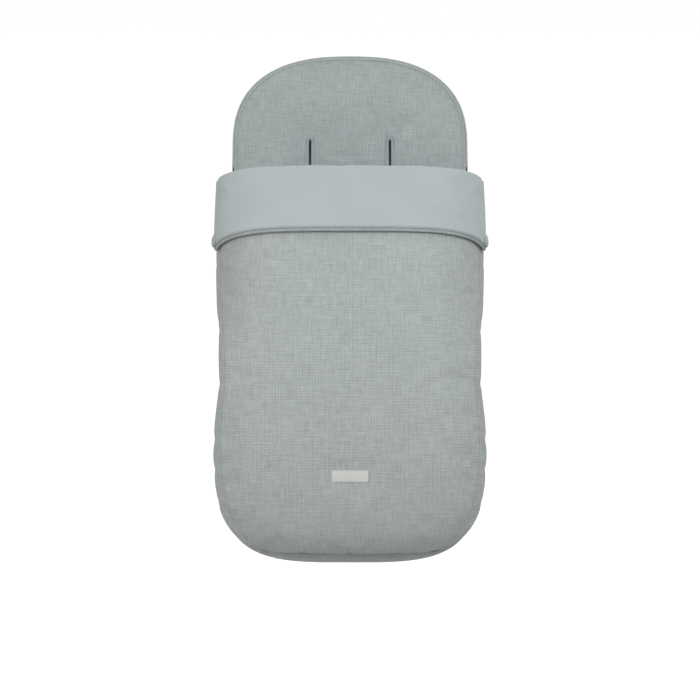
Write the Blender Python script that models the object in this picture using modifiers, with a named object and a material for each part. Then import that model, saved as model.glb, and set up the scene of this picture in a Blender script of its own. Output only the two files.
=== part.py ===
"""Padded footmuff for a pushchair seat: back mat with hood, zipped front cover and turned-down cuff.

Metres, +Z up, +X to the right of someone who faces the footmuff, front towards -Y.
The origin is on the mat's underside, in the middle of the flat seat section.
"""

import math

import bmesh
import bpy
import numpy as np
from mathutils import Matrix, Vector

# Seat that the mat follows, seen from the side: calf, knee, seat, bight and back
CALF_LENGTH = 0.3217
CALF_ANGLE = math.radians(75.6)
KNEE_RADIUS = 0.080
SEAT_FLAT = 0.096
BIGHT_RADIUS = 0.090
BACK_ANGLE = math.radians(64.8)
BACK_LENGTH = 0.495

# Mat
MAT_HALF_WIDTH = 0.233
MAT_EDGE = 0.010
MAT_THICKNESS = 0.022
MAT_BORDER = 0.038
MAT_CROWN_REACH = 0.060
ARCH_HEIGHT = 0.185
ARCH_POWER = 2.5
FOOT_HEIGHT = 0.185
FOOT_POWER = 3.6
END_CLEARANCE = 0.002
SEAM_INSET = 0.006
SEAM_RADIUS = 0.0016

# Cloth and clearances
CLOTH = 0.0012
GAP = 0.0003

# Harness slots
SLOT_OPENING = 0.0055
SLOT_WELT = 0.0075
SLOT_PROUD = 0.0012
SHOULDER_SLOT_LENGTH = 0.095
SHOULDER_SLOT_BELOW_TOP = 0.179
SHOULDER_SLOT_X = 0.080
WAIST_SLOT_LENGTH = 0.055
WAIST_SLOT_ABOVE_BIGHT = 0.055
WAIST_SLOT_X = 0.120
CROTCH_SLOT_LENGTH = 0.055
CROTCH_SLOT_AHEAD = 0.030

# Hood that slips over the backrest
HOOD_DROP = 0.240
HOOD_DEPTH = 0.034
HOOD_PROUD = 0.004
HOOD_CLOTH = 0.0016
HOOD_POWER = 4.0
HOOD_TOP_ROUND = 0.060
HEM_RADIUS = 0.0022

# Front cover
COVER_RISE = 0.20766
COVER_DEPTH = 0.28511
COVER_SWELL = 0.0227
COVER_CORNER = 0.62
COVER_RIM_GAP = 0.0005
COVER_FOOT_INSET = 0.012
COVER_FOOT_BLEND = 0.200
COVER_WADDING = 0.0060
FOOT_CORD_RADIUS = 0.0018
FOOT_CORD_STANDOFF = 0.0024
FOOT_CORD_END = 3.9

# Cuff, the turned-down top of the cover
CUFF_LENGTH = 0.142
CUFF_WING = 0.745
CUFF_STANDOFF = 0.0028
CUFF_AXIS_RISE = 0.0040
CUFF_WADDING = 0.0032
CUFF_CORD_RADIUS = 0.0020

# Zips
ZIP_BOTTOM = 4.6
TAPE_THICKNESS = 0.0010
TAPE_WIDTH = 0.012
TAPE_LIFT = 0.0016
TAPE_CLEARANCE = 0.0010
TEETH_WIDTH = 0.0020
TEETH_HEIGHT = 0.0020
TEETH_LIFT = 0.0018
CHAIN_GAP = 0.0024
STOP_LENGTH = 0.006
SLIDER_LENGTH = 0.014
SLIDER_PLATE = 0.0015
SLIDER_POST = 0.0018
SLIDER_LIP = 0.0012
SLIDER_REST = 0.012
PIN_RADIUS = 0.0008
PIN_LIFT = 0.0022
EAR_GAP = 0.0040
EAR_THICKNESS = 0.0009
EAR_LENGTH = 0.0040
EYE_RADIUS = 0.0019
PULL_LENGTH = 0.028
PULL_NECK = 0.0052
PULL_WIDTH = 0.0080
PULL_THICKNESS = 0.0015

# Snaps at the cuff's lower corners
CAP_RADIUS = 0.0125
CAP_THICKNESS = 0.0055
STUD_RADIUS = 0.0060
STUD_THICKNESS = 0.0014
SNAP_INSET = 0.0125

# Sewn label, left blank
LABEL_WIDTH = 0.065
LABEL_HEIGHT = 0.021
LABEL_THICKNESS = 0.0008
LABEL_STATION = 4.445

WOVEN = ("woven_cloth", (0.40, 0.45, 0.44), 0.95, 0.0)
SMOOTH = ("smooth_cloth", (0.46, 0.52, 0.53), 0.9, 0.0)
WADDING = ("wadding", (0.85, 0.85, 0.83), 1.0, 0.0)
WEBBING = ("zip_tape", (0.33, 0.38, 0.38), 0.9, 0.0)
PLASTIC = ("zip_teeth", (0.30, 0.34, 0.34), 0.5, 0.0)
METAL = ("zip_metal", (0.55, 0.56, 0.57), 0.35, 1.0)
BLANK_LABEL = ("label_cloth", (0.63, 0.64, 0.62), 0.9, 0.0)

SIDES = (("left", -1.0), ("right", 1.0))

PATH = (
    (CALF_LENGTH, 0.0),
    (KNEE_RADIUS * CALF_ANGLE, -1.0 / KNEE_RADIUS),
    (SEAT_FLAT, 0.0),
    (BIGHT_RADIUS * BACK_ANGLE, 1.0 / BIGHT_RADIUS),
    (BACK_LENGTH, 0.0),
)
MAT_LENGTH = sum(length for length, bend in PATH)
KNEE_START = CALF_LENGTH
SEAT_START = KNEE_START + KNEE_RADIUS * CALF_ANGLE
SEAT_MIDDLE = SEAT_START + SEAT_FLAT / 2
BIGHT_START = SEAT_START + SEAT_FLAT
BACK_START = BIGHT_START + BIGHT_RADIUS * BACK_ANGLE


def path_from_foot(s):
    """Height and heading of the mat's underside, s metres along it from the foot."""
    y = 0.0
    z = 0.0
    heading = CALF_ANGLE
    for index, (length, bend) in enumerate(PATH):
        step = s if index == len(PATH) - 1 else min(s, length)
        if bend == 0.0:
            y += step * math.cos(heading)
            z += step * math.sin(heading)
        else:
            turned = heading + bend * step
            y += (math.sin(turned) - math.sin(heading)) / bend
            z += (math.cos(heading) - math.cos(turned)) / bend
            heading = turned
        s -= step
        if s <= 0.0:
            break
    return y, z, heading


ORIGIN_Y, ORIGIN_Z = path_from_foot(SEAT_MIDDLE)[:2]


def mat_axes(s):
    """Directions up the mat and out of its front face."""
    heading = path_from_foot(s)[2]
    along = Vector((0.0, math.cos(heading), math.sin(heading)))
    outward = Vector((0.0, -math.sin(heading), math.cos(heading)))
    return along, outward


def mat_point(x, s, height):
    y, z, heading = path_from_foot(s)
    outward = mat_axes(s)[1]
    return Vector((x, y - ORIGIN_Y, z - ORIGIN_Z)) + outward * height


def mat_frame(x, s, height):
    """Matrix whose X is the width, Y runs up the mat and Z points out of its front."""
    along, outward = mat_axes(s)
    matrix = Matrix((Vector((1.0, 0.0, 0.0)), along, outward)).transposed().to_4x4()
    matrix.translation = mat_point(x, s, height)
    return matrix


def end_share(distance, reach, power):
    """Share of the full half width at a distance from a rounded end."""
    left = 1.0 - min(max(distance / reach, 0.0), 1.0)
    return (1.0 - left ** power) ** (1.0 / power)


def half_width(s, inset=0.0):
    foot = end_share(s - inset, FOOT_HEIGHT - inset, FOOT_POWER)
    arch = end_share(MAT_LENGTH - inset - s, ARCH_HEIGHT - inset, ARCH_POWER)
    return (MAT_HALF_WIDTH - inset) * min(foot, arch)


def smooth_step(value):
    value = min(max(value, 0.0), 1.0)
    return value * value * (3.0 - 2.0 * value)


def edge_distance(x, s):
    """Distance from a place on the mat to its outline, as the inset that would reach it."""
    low = 0.0
    high = MAT_BORDER + MAT_CROWN_REACH
    for halving in range(16):
        middle = (low + high) / 2
        if abs(x) < half_width(s, middle):
            low = middle
        else:
            high = middle
    return low


def mat_top(x, s):
    """Height of the mat's front face: a flat border, then a crown."""
    share = smooth_step((edge_distance(x, s) - MAT_BORDER) / MAT_CROWN_REACH)
    return MAT_EDGE + (MAT_THICKNESS - MAT_EDGE) * share


RIM_HEIGHT = MAT_EDGE + COVER_RIM_GAP
CALF, KNEE, SEAT, BIGHT, BACK = range(5)

# Stretch of the path and share of it, share of the full depth, lean in degrees from the mat's
# outward direction, share of the full swell beyond the rim, and squareness of the section
COVER_SECTIONS = (
    (CALF, 0.0933, 0.0367, -90.02, 0.00, 2.7),
    (CALF, 0.1172, 0.1270, -23.83, 0.18, 2.9),
    (CALF, 0.1576, 0.2245, -11.73, 0.31, 3.1),
    (CALF, 0.2446, 0.2977, -5.69, 0.44, 3.3),
    (CALF, 0.4156, 0.3629, -3.49, 0.51, 3.8),
    (CALF, 0.6954, 0.4089, 1.75, 0.44, 4.4),
    (KNEE, 0.0663, 0.4060, 0.76, 0.04, 4.6),
    (SEAT, 0.3275, 0.6948, -66.34, 0.35, 4.4),
    (BIGHT, 0.6429, 1.0000, -17.91, 0.73, 4.2),
    (BACK, 0.4029, 0.9180, 1.64, 0.96, 3.9),
    (BACK, 1.0000, 0.8004, -4.42, 1.00, 3.7),
)


def cover_station(stretch, share, depth, lean, swell, squareness):
    """Place of the rim along the mat, front line (y, z), swell and squareness of one section."""
    length = COVER_RISE if stretch == BACK else PATH[stretch][0]
    s = sum(run for run, bend in PATH[:stretch]) + share * length
    along, outward = mat_axes(s)
    lean = math.radians(lean)
    deep = (outward * math.cos(lean) + along * math.sin(lean)) * depth * COVER_DEPTH
    front = mat_point(0.0, s, RIM_HEIGHT) + deep
    return s, front.y, front.z, swell * COVER_SWELL, squareness


COVER_STATIONS = [cover_station(*section) for section in COVER_SECTIONS]
MOUTH = len(COVER_STATIONS) - 1
COVER_TOP = COVER_STATIONS[MOUTH][0]


def through(column, position):
    """Smooth value of one column of the cover's stations at a station number."""
    last = len(COVER_STATIONS) - 1
    index = min(max(int(math.floor(position)), 0), last - 1)
    t = position - index
    values = [COVER_STATIONS[min(max(index + k, 0), last)][column] for k in (-1, 0, 1, 2)]
    if index == 0:
        values[0] = 2 * values[1] - values[2]
    if index == last - 1:
        values[3] = 2 * values[2] - values[1]
    a, b, c, d = values
    return b + 0.5 * t * (c - a + t * (2 * a - 5 * b + 4 * c - d + t * (3 * (b - c) + d - a)))


def cover_inset(s):
    return COVER_FOOT_INSET * (1.0 - smooth_step(s / COVER_FOOT_BLEND))


def cover_point(across, station):
    """Outer surface of the cover: across runs from -1 at the left rim to 1 at the right rim."""
    s = through(0, station)
    rim = mat_point(0.0, s, RIM_HEIGHT)
    front = Vector((0.0, through(1, station), through(2, station)))
    deep = front - rim
    swell = through(3, station)
    power = through(4, station)
    rim_half = half_width(s, cover_inset(s))
    points = section_points(rim_half, deep.length, swell, power)
    lengths = np.concatenate(([0.0], np.cumsum(np.hypot(*np.diff(points, axis=0).T))))
    corner = lengths[SECTION_STEPS // 2]
    reach = np.interp(abs(across), (0.0, COVER_CORNER, 1.0), (lengths[-1], corner, 0.0))
    x = np.interp(reach, lengths, points[:, 0])
    depth = np.interp(reach, lengths, points[:, 1])
    return rim + deep.normalized() * float(depth) + Vector((math.copysign(float(x), across), 0.0, 0.0))


SECTION_STEPS = 96


def section_points(rim_half, depth, swell, power):
    """Half of a cover section, from its rim to the middle of its front, as (x, depth)."""
    angle = np.linspace(0.0, math.pi / 2, SECTION_STEPS)
    x = (rim_half + swell) * np.abs(np.cos(angle)) ** (2.0 / power)
    q = depth * np.abs(np.sin(angle)) ** (2.0 / power)
    drawn = np.cos(0.5 * math.pi * np.minimum(q / (0.45 * depth), 1.0)) ** 2
    return np.stack((x - swell * drawn, q), axis=1)


def cover_normal(across, station):
    """Outward direction of the cover, kept level with the mat along the rim."""
    if abs(across) == 1.0 and station == 0.0:
        across = math.copysign(0.96, across)
    small = 0.004
    low = max(station - small, 0.0)
    high = min(station + small, MOUTH)
    left = max(across - small, -1.0)
    right = min(across + small, 1.0)
    along = cover_point(across, high) - cover_point(across, low)
    over = cover_point(right, station) - cover_point(left, station)
    normal = over.cross(along).normalized()
    if abs(across) == 1.0 or station == 0.0:
        outward = mat_axes(through(0, station))[1]
        normal = (normal - outward * normal.dot(outward)).normalized()
    return normal


def cover_grid(acrosses, stations):
    """Points and outward directions of a patch of the cover."""
    points = [[cover_point(a, v) for a in acrosses] for v in stations]
    normals = [[cover_normal(a, v) for a in acrosses] for v in stations]
    return points, normals


def pushed(grid, distance):
    points, normals = grid
    return [
        [point + normal * distance for point, normal in zip(row, directions)]
        for row, directions in zip(points, normals)
    ]


def new_collection(name):
    collection = bpy.data.collections.new(name)
    bpy.context.scene.collection.children.link(collection)
    return collection


def material(finish):
    name, colour, roughness, metallic = finish
    shader = bpy.data.materials.get(name)
    if shader is None:
        shader = bpy.data.materials.new(name)
        shader.use_nodes = True
        node = shader.node_tree.nodes["Principled BSDF"]
        node.inputs["Base Color"].default_value = (*colour, 1.0)
        node.inputs["Roughness"].default_value = roughness
        node.inputs["Metallic"].default_value = metallic
    return shader


def add_object(name, mesh, finish, parent=None):
    thing = bpy.data.objects.new(name, mesh)
    mesh.materials.append(material(finish))
    PARTS.objects.link(thing)
    if parent is not None:
        thing.parent = parent
        thing.matrix_parent_inverse = parent.matrix_world.inverted()
    return thing


def pivot(name, place, parent=None):
    """Empty on a joint's axis."""
    empty = bpy.data.objects.new(name, None)
    PARTS.objects.link(empty)
    empty.location = place
    if parent is not None:
        empty.parent = parent
        empty.matrix_parent_inverse = parent.matrix_world.inverted()
    bpy.context.view_layer.update()
    return empty


def mesh_from(name, points, faces):
    mesh = bpy.data.meshes.new(name)
    mesh.from_pydata(points, [], faces)
    mesh.validate()
    return mesh


def slab(name, upper, lower, finish, parent=None):
    """Closed body between two grids of the same size; the upper one faces out."""
    rows = len(upper)
    columns = len(upper[0])
    count = rows * columns
    points = [p for row in upper for p in row] + [p for row in lower for p in row]
    faces = []
    for i in range(rows - 1):
        for j in range(columns - 1):
            a = i * columns + j
            b = a + 1
            c = a + columns + 1
            d = a + columns
            faces += [(a, b, c), (a, c, d)]
            faces += [(count + c, count + b, count + a), (count + d, count + c, count + a)]
    rim = [j for j in range(columns)]
    rim += [i * columns + columns - 1 for i in range(1, rows)]
    rim += [(rows - 1) * columns + j for j in range(columns - 2, -1, -1)]
    rim += [i * columns for i in range(rows - 2, 0, -1)]
    for a, b in zip(rim, rim[1:] + rim[:1]):
        faces += [(b, a, count + a), (b, count + a, count + b)]
    mesh = mesh_from(name, points, faces)
    face_out(mesh)
    thing = add_object(name, mesh, finish, parent)
    smooth(thing)
    return thing


def sweep(name, rings, finish, parent=None):
    """Closed body through rings of points, capped at both ends."""
    size = len(rings[0])
    points = [p for ring in rings for p in ring]
    faces = []
    for i in range(len(rings) - 1):
        here = i * size
        there = here + size
        for j in range(size):
            k = (j + 1) % size
            faces.append((here + j, here + k, there + k, there + j))
    faces.append(tuple(range(size - 1, -1, -1)))
    faces.append(tuple((len(rings) - 1) * size + j for j in range(size)))
    mesh = mesh_from(name, points, faces)
    face_out(mesh)
    thing = add_object(name, mesh, finish, parent)
    smooth(thing)
    return thing


def face_out(mesh):
    shape = bmesh.new()
    shape.from_mesh(mesh)
    bmesh.ops.recalc_face_normals(shape, faces=shape.faces)
    shape.to_mesh(mesh)
    shape.free()


def smooth(thing):
    thing.data.shade_smooth()
    thing.data.set_sharp_from_angle(angle=math.radians(40))


def cord(name, points, radius, finish, parent=None, sides=1):
    """Round cord along points, with filled ends."""
    curve = bpy.data.curves.new(name, "CURVE")
    curve.dimensions = "3D"
    curve.bevel_depth = radius
    curve.bevel_resolution = sides
    curve.use_fill_caps = True
    line = curve.splines.new("POLY")
    line.points.add(len(points) - 1)
    for target, point in zip(line.points, points):
        target.co = (*point, 1.0)
    return add_object(name, curve, finish, parent)


def stadium(length, width, steps=4):
    """Outline with straight sides and round ends, long axis along Y."""
    radius = width / 2
    straight = length / 2 - radius
    outline = []
    for sign, start in ((1.0, 0.0), (-1.0, math.pi)):
        for k in range(steps + 1):
            angle = start + math.pi * k / steps
            outline.append((radius * math.cos(angle), sign * straight + radius * math.sin(angle)))
    return outline


def flat_shape(name, outlines, thickness, matrix, finish, parent=None):
    """Plate of a flat outline with its holes, centred on the matrix's plane."""
    curve = bpy.data.curves.new(name, "CURVE")
    curve.dimensions = "2D"
    curve.fill_mode = "BOTH"
    curve.extrude = thickness / 2
    for outline in outlines:
        line = curve.splines.new("POLY")
        line.points.add(len(outline) - 1)
        line.use_cyclic_u = True
        for target, (x, y) in zip(line.points, outline):
            target.co = (x, y, 0.0, 1.0)
    thing = add_object(name, curve, finish)
    thing.matrix_world = matrix
    bpy.context.view_layer.update()
    if parent is not None:
        thing.parent = parent
        thing.matrix_parent_inverse = parent.matrix_world.inverted()
    return thing


def cutter_from(name, outline, thickness, matrix):
    """Prism that cuts a hole."""
    low = [matrix @ Vector((x, y, -thickness / 2)) for x, y in outline]
    high = [matrix @ Vector((x, y, thickness / 2)) for x, y in outline]
    count = len(outline)
    faces = [tuple(range(count - 1, -1, -1)), tuple(count + j for j in range(count))]
    faces += [(j, (j + 1) % count, count + (j + 1) % count, count + j) for j in range(count)]
    mesh = mesh_from(name, low + high, faces)
    face_out(mesh)
    thing = bpy.data.objects.new(name, mesh)
    CUTTERS.objects.link(thing)
    thing.hide_render = True
    thing.display_type = "WIRE"
    return thing


def combine(thing, other, operation):
    change = thing.modifiers.new(other.name, "BOOLEAN")
    change.operation = operation
    change.object = other
    change.solver = "EXACT"


# Mat

def bend_places():
    """Places along the mat where its facets turn round the knee and the bight."""
    knee = [KNEE_START + (SEAT_START - KNEE_START) * k / 4 for k in range(5)]
    bight = [BIGHT_START + (BACK_START - BIGHT_START) * k / 4 for k in range(5)]
    return knee + [SEAT_MIDDLE - CROTCH_SLOT_AHEAD / 3] + bight


def mat_stations():
    arch = [MAT_LENGTH - ARCH_HEIGHT * share for share in (1.0, 0.72, 0.46, 0.26, 0.12, 0.04)]
    foot = [FOOT_HEIGHT * share for share in (0.03, 0.12, 0.28, 0.52, 0.78)]
    bends = bend_places()
    back = [BACK_START + (arch[0] - BACK_START) * k / 3 for k in (1, 2)]
    calf = [(FOOT_HEIGHT + KNEE_START) / 2]
    return [END_CLEARANCE] + foot + calf + bends + back + arch + [MAT_LENGTH - END_CLEARANCE]


MAT_COLUMNS = (-1.0, -0.95, -0.86, -0.7, -0.45, -0.13, 0.13, 0.45, 0.7, 0.86, 0.95, 1.0)


def mat_layer(name, low, high, finish, stations):
    """One layer of the mat; low and high give its heights from x and s."""
    upper = []
    lower = []
    for s in stations:
        width = half_width(s)
        upper.append([mat_point(width * c, s, high(width * c, s)) for c in MAT_COLUMNS])
        lower.append([mat_point(width * c, s, low(width * c, s)) for c in MAT_COLUMNS])
    return slab(name, upper, lower, finish)


def slot_places():
    """Name, x, distance along the mat, length and turn of every harness slot."""
    shoulder = MAT_LENGTH - SHOULDER_SLOT_BELOW_TOP - SHOULDER_SLOT_LENGTH / 2
    waist = BACK_START + WAIST_SLOT_ABOVE_BIGHT
    for side, sign in SIDES:
        yield f"shoulder_slot_{side}", sign * SHOULDER_SLOT_X, shoulder, SHOULDER_SLOT_LENGTH, 0.0
        yield f"waist_slot_{side}", sign * WAIST_SLOT_X, waist, WAIST_SLOT_LENGTH, 0.0
    yield "crotch_slot", 0.0, SEAT_MIDDLE - CROTCH_SLOT_AHEAD, CROTCH_SLOT_LENGTH, math.pi / 2


def build_mat():
    """Backing, face and three wadded pads, parted at the edges of the flat seat."""
    rows = mat_stations()
    whole = [
        mat_layer("mat_backing", lambda x, s: 0.0, lambda x, s: CLOTH, SMOOTH, rows),
        mat_layer("mat_face", lambda x, s: mat_top(x, s) - CLOTH, mat_top, WOVEN, rows),
    ]
    pads = []
    ends = (rows[0], SEAT_START, BIGHT_START, rows[-1])
    for name, low, high in zip(("leg", "seat", "back"), ends, ends[1:]):
        inner = [s for s in rows if low + GAP < s < high - GAP]
        first = low if low == rows[0] else low + GAP / 2
        last = high if high == rows[-1] else high - GAP / 2
        pad = mat_layer(
            f"mat_wadding_{name}",
            lambda x, s: CLOTH + GAP,
            lambda x, s: mat_top(x, s) - CLOTH - GAP,
            WADDING,
            [first] + inner + [last],
        )
        pads.append((low, high, pad))
    for name, x, s, length, turn in slot_places():
        cut_pads = [pad for low, high, pad in pads if low < s < high]
        build_slot(name, x, s, length, turn, whole + cut_pads)
    build_seam()


def build_slot(name, x, s, length, turn, layers):
    top = mat_top(x, s) + SLOT_PROUD
    matrix = mat_frame(x, s, top / 2) @ Matrix.Rotation(turn, 4, "Z")
    outer = stadium(length + 2 * SLOT_WELT, SLOT_OPENING + 2 * SLOT_WELT)
    flat_shape(name, [outer, stadium(length, SLOT_OPENING)], top, matrix, SMOOTH)
    room = stadium(length + 2 * (SLOT_WELT + GAP), SLOT_OPENING + 2 * (SLOT_WELT + GAP))
    cutter = cutter_from(f"{name}_cutter", room, 3 * MAT_THICKNESS, matrix)
    for layer in layers:
        combine(layer, cutter, "DIFFERENCE")


def arch_route(inset, start, arch_steps=10, side_steps=4):
    """Places (x, s) round the mat's arch at an inset, from the left side over to the right."""
    right = []
    for s in np.linspace(start, MAT_LENGTH - ARCH_HEIGHT, side_steps + 1)[:-1]:
        right.append((half_width(s, inset), s))
    reach = MAT_HALF_WIDTH - inset
    for k in range(arch_steps):
        angle = 0.5 * math.pi * k / arch_steps
        x = reach * math.cos(angle) ** (2 / ARCH_POWER)
        s = MAT_LENGTH - ARCH_HEIGHT + (ARCH_HEIGHT - inset) * math.sin(angle) ** (2 / ARCH_POWER)
        right.append((x, s))
    return [(-x, s) for x, s in right] + [(0.0, MAT_LENGTH - inset)] + list(reversed(right))


def build_seam():
    """Piped seam just inside the arch of the mat, down to the cover's rim."""
    rise = SEAM_RADIUS + 2 * GAP
    route = arch_route(SEAM_INSET, COVER_TOP + 2 * CUFF_STANDOFF)
    cord("mat_piping", [mat_point(x, s, mat_top(x, s) + rise) for x, s in route], SEAM_RADIUS, WOVEN)


# Hood

HOOD_SHARES = (0.0, 0.045, 0.09, 0.16, 0.30, 0.5)
HOOD_ARCH = (1.0, 0.7, 0.45, 0.25, 0.1, 0.03, 0.0)


def hood_point(share, place, inner):
    """Skin of the hood; share runs from 0 at the left edge to 1, place is measured from its top."""
    end = MAT_LENGTH + HOOD_PROUD - inner
    s = end - place
    width = half_width(min(s, end - END_CLEARANCE), inner - HOOD_PROUD)
    depth = (HOOD_DEPTH - inner) * end_share(place, HOOD_TOP_ROUND, 2.0)
    angle = math.pi * share
    x = -width * math.copysign(abs(math.cos(angle)) ** (2 / HOOD_POWER), math.cos(angle))
    return mat_point(x, s, -GAP - depth * abs(math.sin(angle)) ** (2 / HOOD_POWER))


def band_route(inset):
    """Outline (x, s) round the mat's arch, on the mat's own rows, from left over to right."""
    start = MAT_LENGTH - HOOD_DROP
    rows = [start] + [s for s in mat_stations() if s > start]
    right = [(half_width(s, inset), s) for s in rows]
    return [(-x, s) for x, s in right] + [(0.0, MAT_LENGTH - inset)] + list(reversed(right))


def build_hood():
    reach = HOOD_DROP + HOOD_PROUD
    shares = list(HOOD_SHARES) + [1.0 - share for share in reversed(HOOD_SHARES[:-1])]
    places = [HOOD_TOP_ROUND + (reach - HOOD_TOP_ROUND) * k / 5 for k in (5, 4, 3, 2, 1)]
    places += [HOOD_TOP_ROUND * share for share in HOOD_ARCH]
    outer = [[hood_point(share, place, 0.0) for share in shares] for place in places]
    inner = [[hood_point(share, place, HOOD_CLOTH) for share in shares] for place in places]
    slab("hood", outer, inner, SMOOTH)
    below = reach + HOOD_CLOTH / 2 + HEM_RADIUS + GAP
    hem = [hood_point(share, below, HOOD_CLOTH / 2) for share in shares]
    cord("hood_hem", hem, HEM_RADIUS, SMOOTH)
    near = band_route(-GAP)
    far = band_route(-HOOD_PROUD)
    rings = []
    for (x0, s0), (x1, s1) in zip(near, far):
        rings.append([mat_point(x0, s0, 0.0), mat_point(x1, s1, 0.0)])
        rings[-1] += [mat_point(x1, s1, MAT_EDGE), mat_point(x0, s0, MAT_EDGE)]
    sweep("hood_band", rings, SMOOTH)


# Cover

FRONT_ACROSS = tuple(COVER_CORNER * share for share in (0.0, 0.27, 0.55, 0.77, 0.9, 1.0))
CUFF_ACROSS = FRONT_ACROSS + ((COVER_CORNER + CUFF_WING) / 2, CUFF_WING)
COVER_ACROSS = CUFF_ACROSS + ((1.0 + CUFF_WING) / 2, 1.0)
TOE_ROWS = (0.0, 0.45, 1.0, 1.6, 2.3, 3.0, 3.8, 4.6, 5.3)


def station_at(s):
    """Station number of the cover above a place on the mat."""
    low = 0.0
    high = float(MOUTH)
    for halving in range(30):
        middle = (low + high) / 2
        if through(0, middle) < s:
            low = middle
        else:
            high = middle
    return low


def cover_rows():
    """Stations of the cover's rows; round the bends they lie on the mat's own rows."""
    bends = [station_at(s) for s in bend_places()]
    back = [bends[-1] + (MOUTH - bends[-1]) * k / 4 for k in (1, 2, 3, 4)]
    return list(TOE_ROWS) + bends + back


def mirrored(values):
    return [-value for value in reversed(values[1:])] + list(values)


def build_cover(parent):
    grid = cover_grid(mirrored(COVER_ACROSS), cover_rows())
    depth = 0.0
    for name, thickness, finish in (
        ("cover_face", CLOTH, WOVEN),
        ("cover_wadding", COVER_WADDING, WADDING),
        ("cover_lining", CLOTH, SMOOTH),
    ):
        slab(name, pushed(grid, -depth), pushed(grid, -depth - thickness), finish, parent)
        depth += thickness + GAP


def build_foot_cord(parent):
    """Corded seam where the cover's toe meets the mat."""
    stand = FOOT_CORD_RADIUS + FOOT_CORD_STANDOFF
    rise = FOOT_CORD_RADIUS + GAP - COVER_RIM_GAP
    stations = [station for station in cover_rows() if 0.0 < station < FOOT_CORD_END]
    left = [(-1.0, station) for station in reversed(stations)]
    toe = [(across, 0.0) for across in mirrored(COVER_ACROSS)]
    right = [(1.0, station) for station in stations]
    points = []
    for across, station in left + toe + right:
        lift = mat_axes(through(0, station))[1] * rise
        points.append(cover_point(across, station) + cover_normal(across, station) * stand + lift)
    cord("foot_piping", points, FOOT_CORD_RADIUS, WOVEN, parent)


def across_at(station, x):
    """Place across a section where the front reaches a distance from the middle."""
    low = 0.0
    high = COVER_CORNER
    for halving in range(24):
        middle = (low + high) / 2
        if cover_point(middle, station).x < x:
            low = middle
        else:
            high = middle
    return low


def front_pace(station):
    """Length of the cover's front line for one station number."""
    small = 0.05
    low = cover_point(0.0, station - small)
    return (cover_point(0.0, min(station + small, MOUTH)) - low).length / (2 * small)


def build_label(parent):
    half = LABEL_HEIGHT / 2 / front_pace(LABEL_STATION)
    side = across_at(LABEL_STATION, LABEL_WIDTH / 2)
    stations = [LABEL_STATION - half, LABEL_STATION, LABEL_STATION + half]
    grid = cover_grid([-side, -side / 3, side / 3, side], stations)
    slab("label", pushed(grid, GAP + LABEL_THICKNESS), pushed(grid, GAP), BLANK_LABEL, parent)


# Cuff

def cuff_low():
    """Station of the cuff's lower edge, its length down the front from the crest."""
    station = float(MOUTH)
    left = CUFF_LENGTH
    step = 0.01
    while left > 0.0:
        left -= (cover_point(0.0, station) - cover_point(0.0, station - step)).length
        station -= step
    return station


def build_cuff(parent):
    across = mirrored(CUFF_ACROSS)
    low = cuff_low()
    stations = [low + (MOUTH - low) * k / 4 for k in range(5)]
    grid = cover_grid(across, stations)
    lift = CUFF_STANDOFF
    for name, thickness, finish in (
        ("cuff_face", CLOTH, WOVEN),
        ("cuff_wadding", CUFF_WADDING, WADDING),
        ("cuff_lining", CLOTH, SMOOTH),
    ):
        slab(name, pushed(grid, lift + thickness), pushed(grid, lift), finish, parent)
        lift += thickness + GAP
    middle = (CUFF_STANDOFF + lift) / 2
    down = (CUFF_CORD_RADIUS + GAP) / front_pace(low)
    wall = (cover_point(CUFF_WING, MOUTH) - cover_point(CUFF_WING - 0.01, MOUTH)).length / 0.01
    out = (CUFF_CORD_RADIUS + GAP) / wall
    wing = CUFF_WING + out
    route = [(-wing, station) for station in reversed(stations[1:])]
    route += [(-wing, low - down)] + [(value, low - down) for value in across] + [(wing, low - down)]
    route += [(wing, station) for station in stations[1:]]
    points = [cover_point(a, v) + cover_normal(a, v) * middle for a, v in route]
    cord("cuff_piping", points, CUFF_CORD_RADIUS, WOVEN, parent)
    return lift


# Snaps

def turned(name, profile, matrix, finish, parent):
    """Round piece from a half outline (radius, height), top to bottom, about the matrix's Z."""
    count = len(profile)
    mesh = bpy.data.meshes.new(name)
    edges = [(k, k + 1) for k in range(count - 1)]
    mesh.from_pydata([(radius, 0.0, height) for radius, height in profile], edges, [])
    thing = add_object(name, mesh, finish)
    thing.matrix_world = matrix
    spin = thing.modifiers.new("turn", "SCREW")
    spin.steps = 20
    spin.render_steps = 20
    spin.use_merge_vertices = True
    spin.merge_threshold = 0.00001
    spin.use_smooth_shade = True
    bpy.context.view_layer.update()
    thing.parent = parent
    thing.matrix_parent_inverse = parent.matrix_world.inverted()
    return thing


def snap_frame(sign, lift):
    """Matrix at a snap, on the flat of the side wall, with Z out of the cover."""
    pace = front_pace(cuff_low())
    station = cuff_low() + SNAP_INSET / pace
    edge = cover_point(sign * CUFF_WING, station)
    inner = cover_point(sign * CUFF_ACROSS[-2], station)
    above = cover_point(sign * CUFF_WING, station + SNAP_INSET / pace)
    over = (inner - edge).normalized()
    normal = (above - edge).cross(over).normalized() * sign
    matrix = normal.to_track_quat("Z", "Y").to_matrix().to_4x4()
    matrix.translation = edge + over * SNAP_INSET + normal * lift
    return matrix


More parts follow.
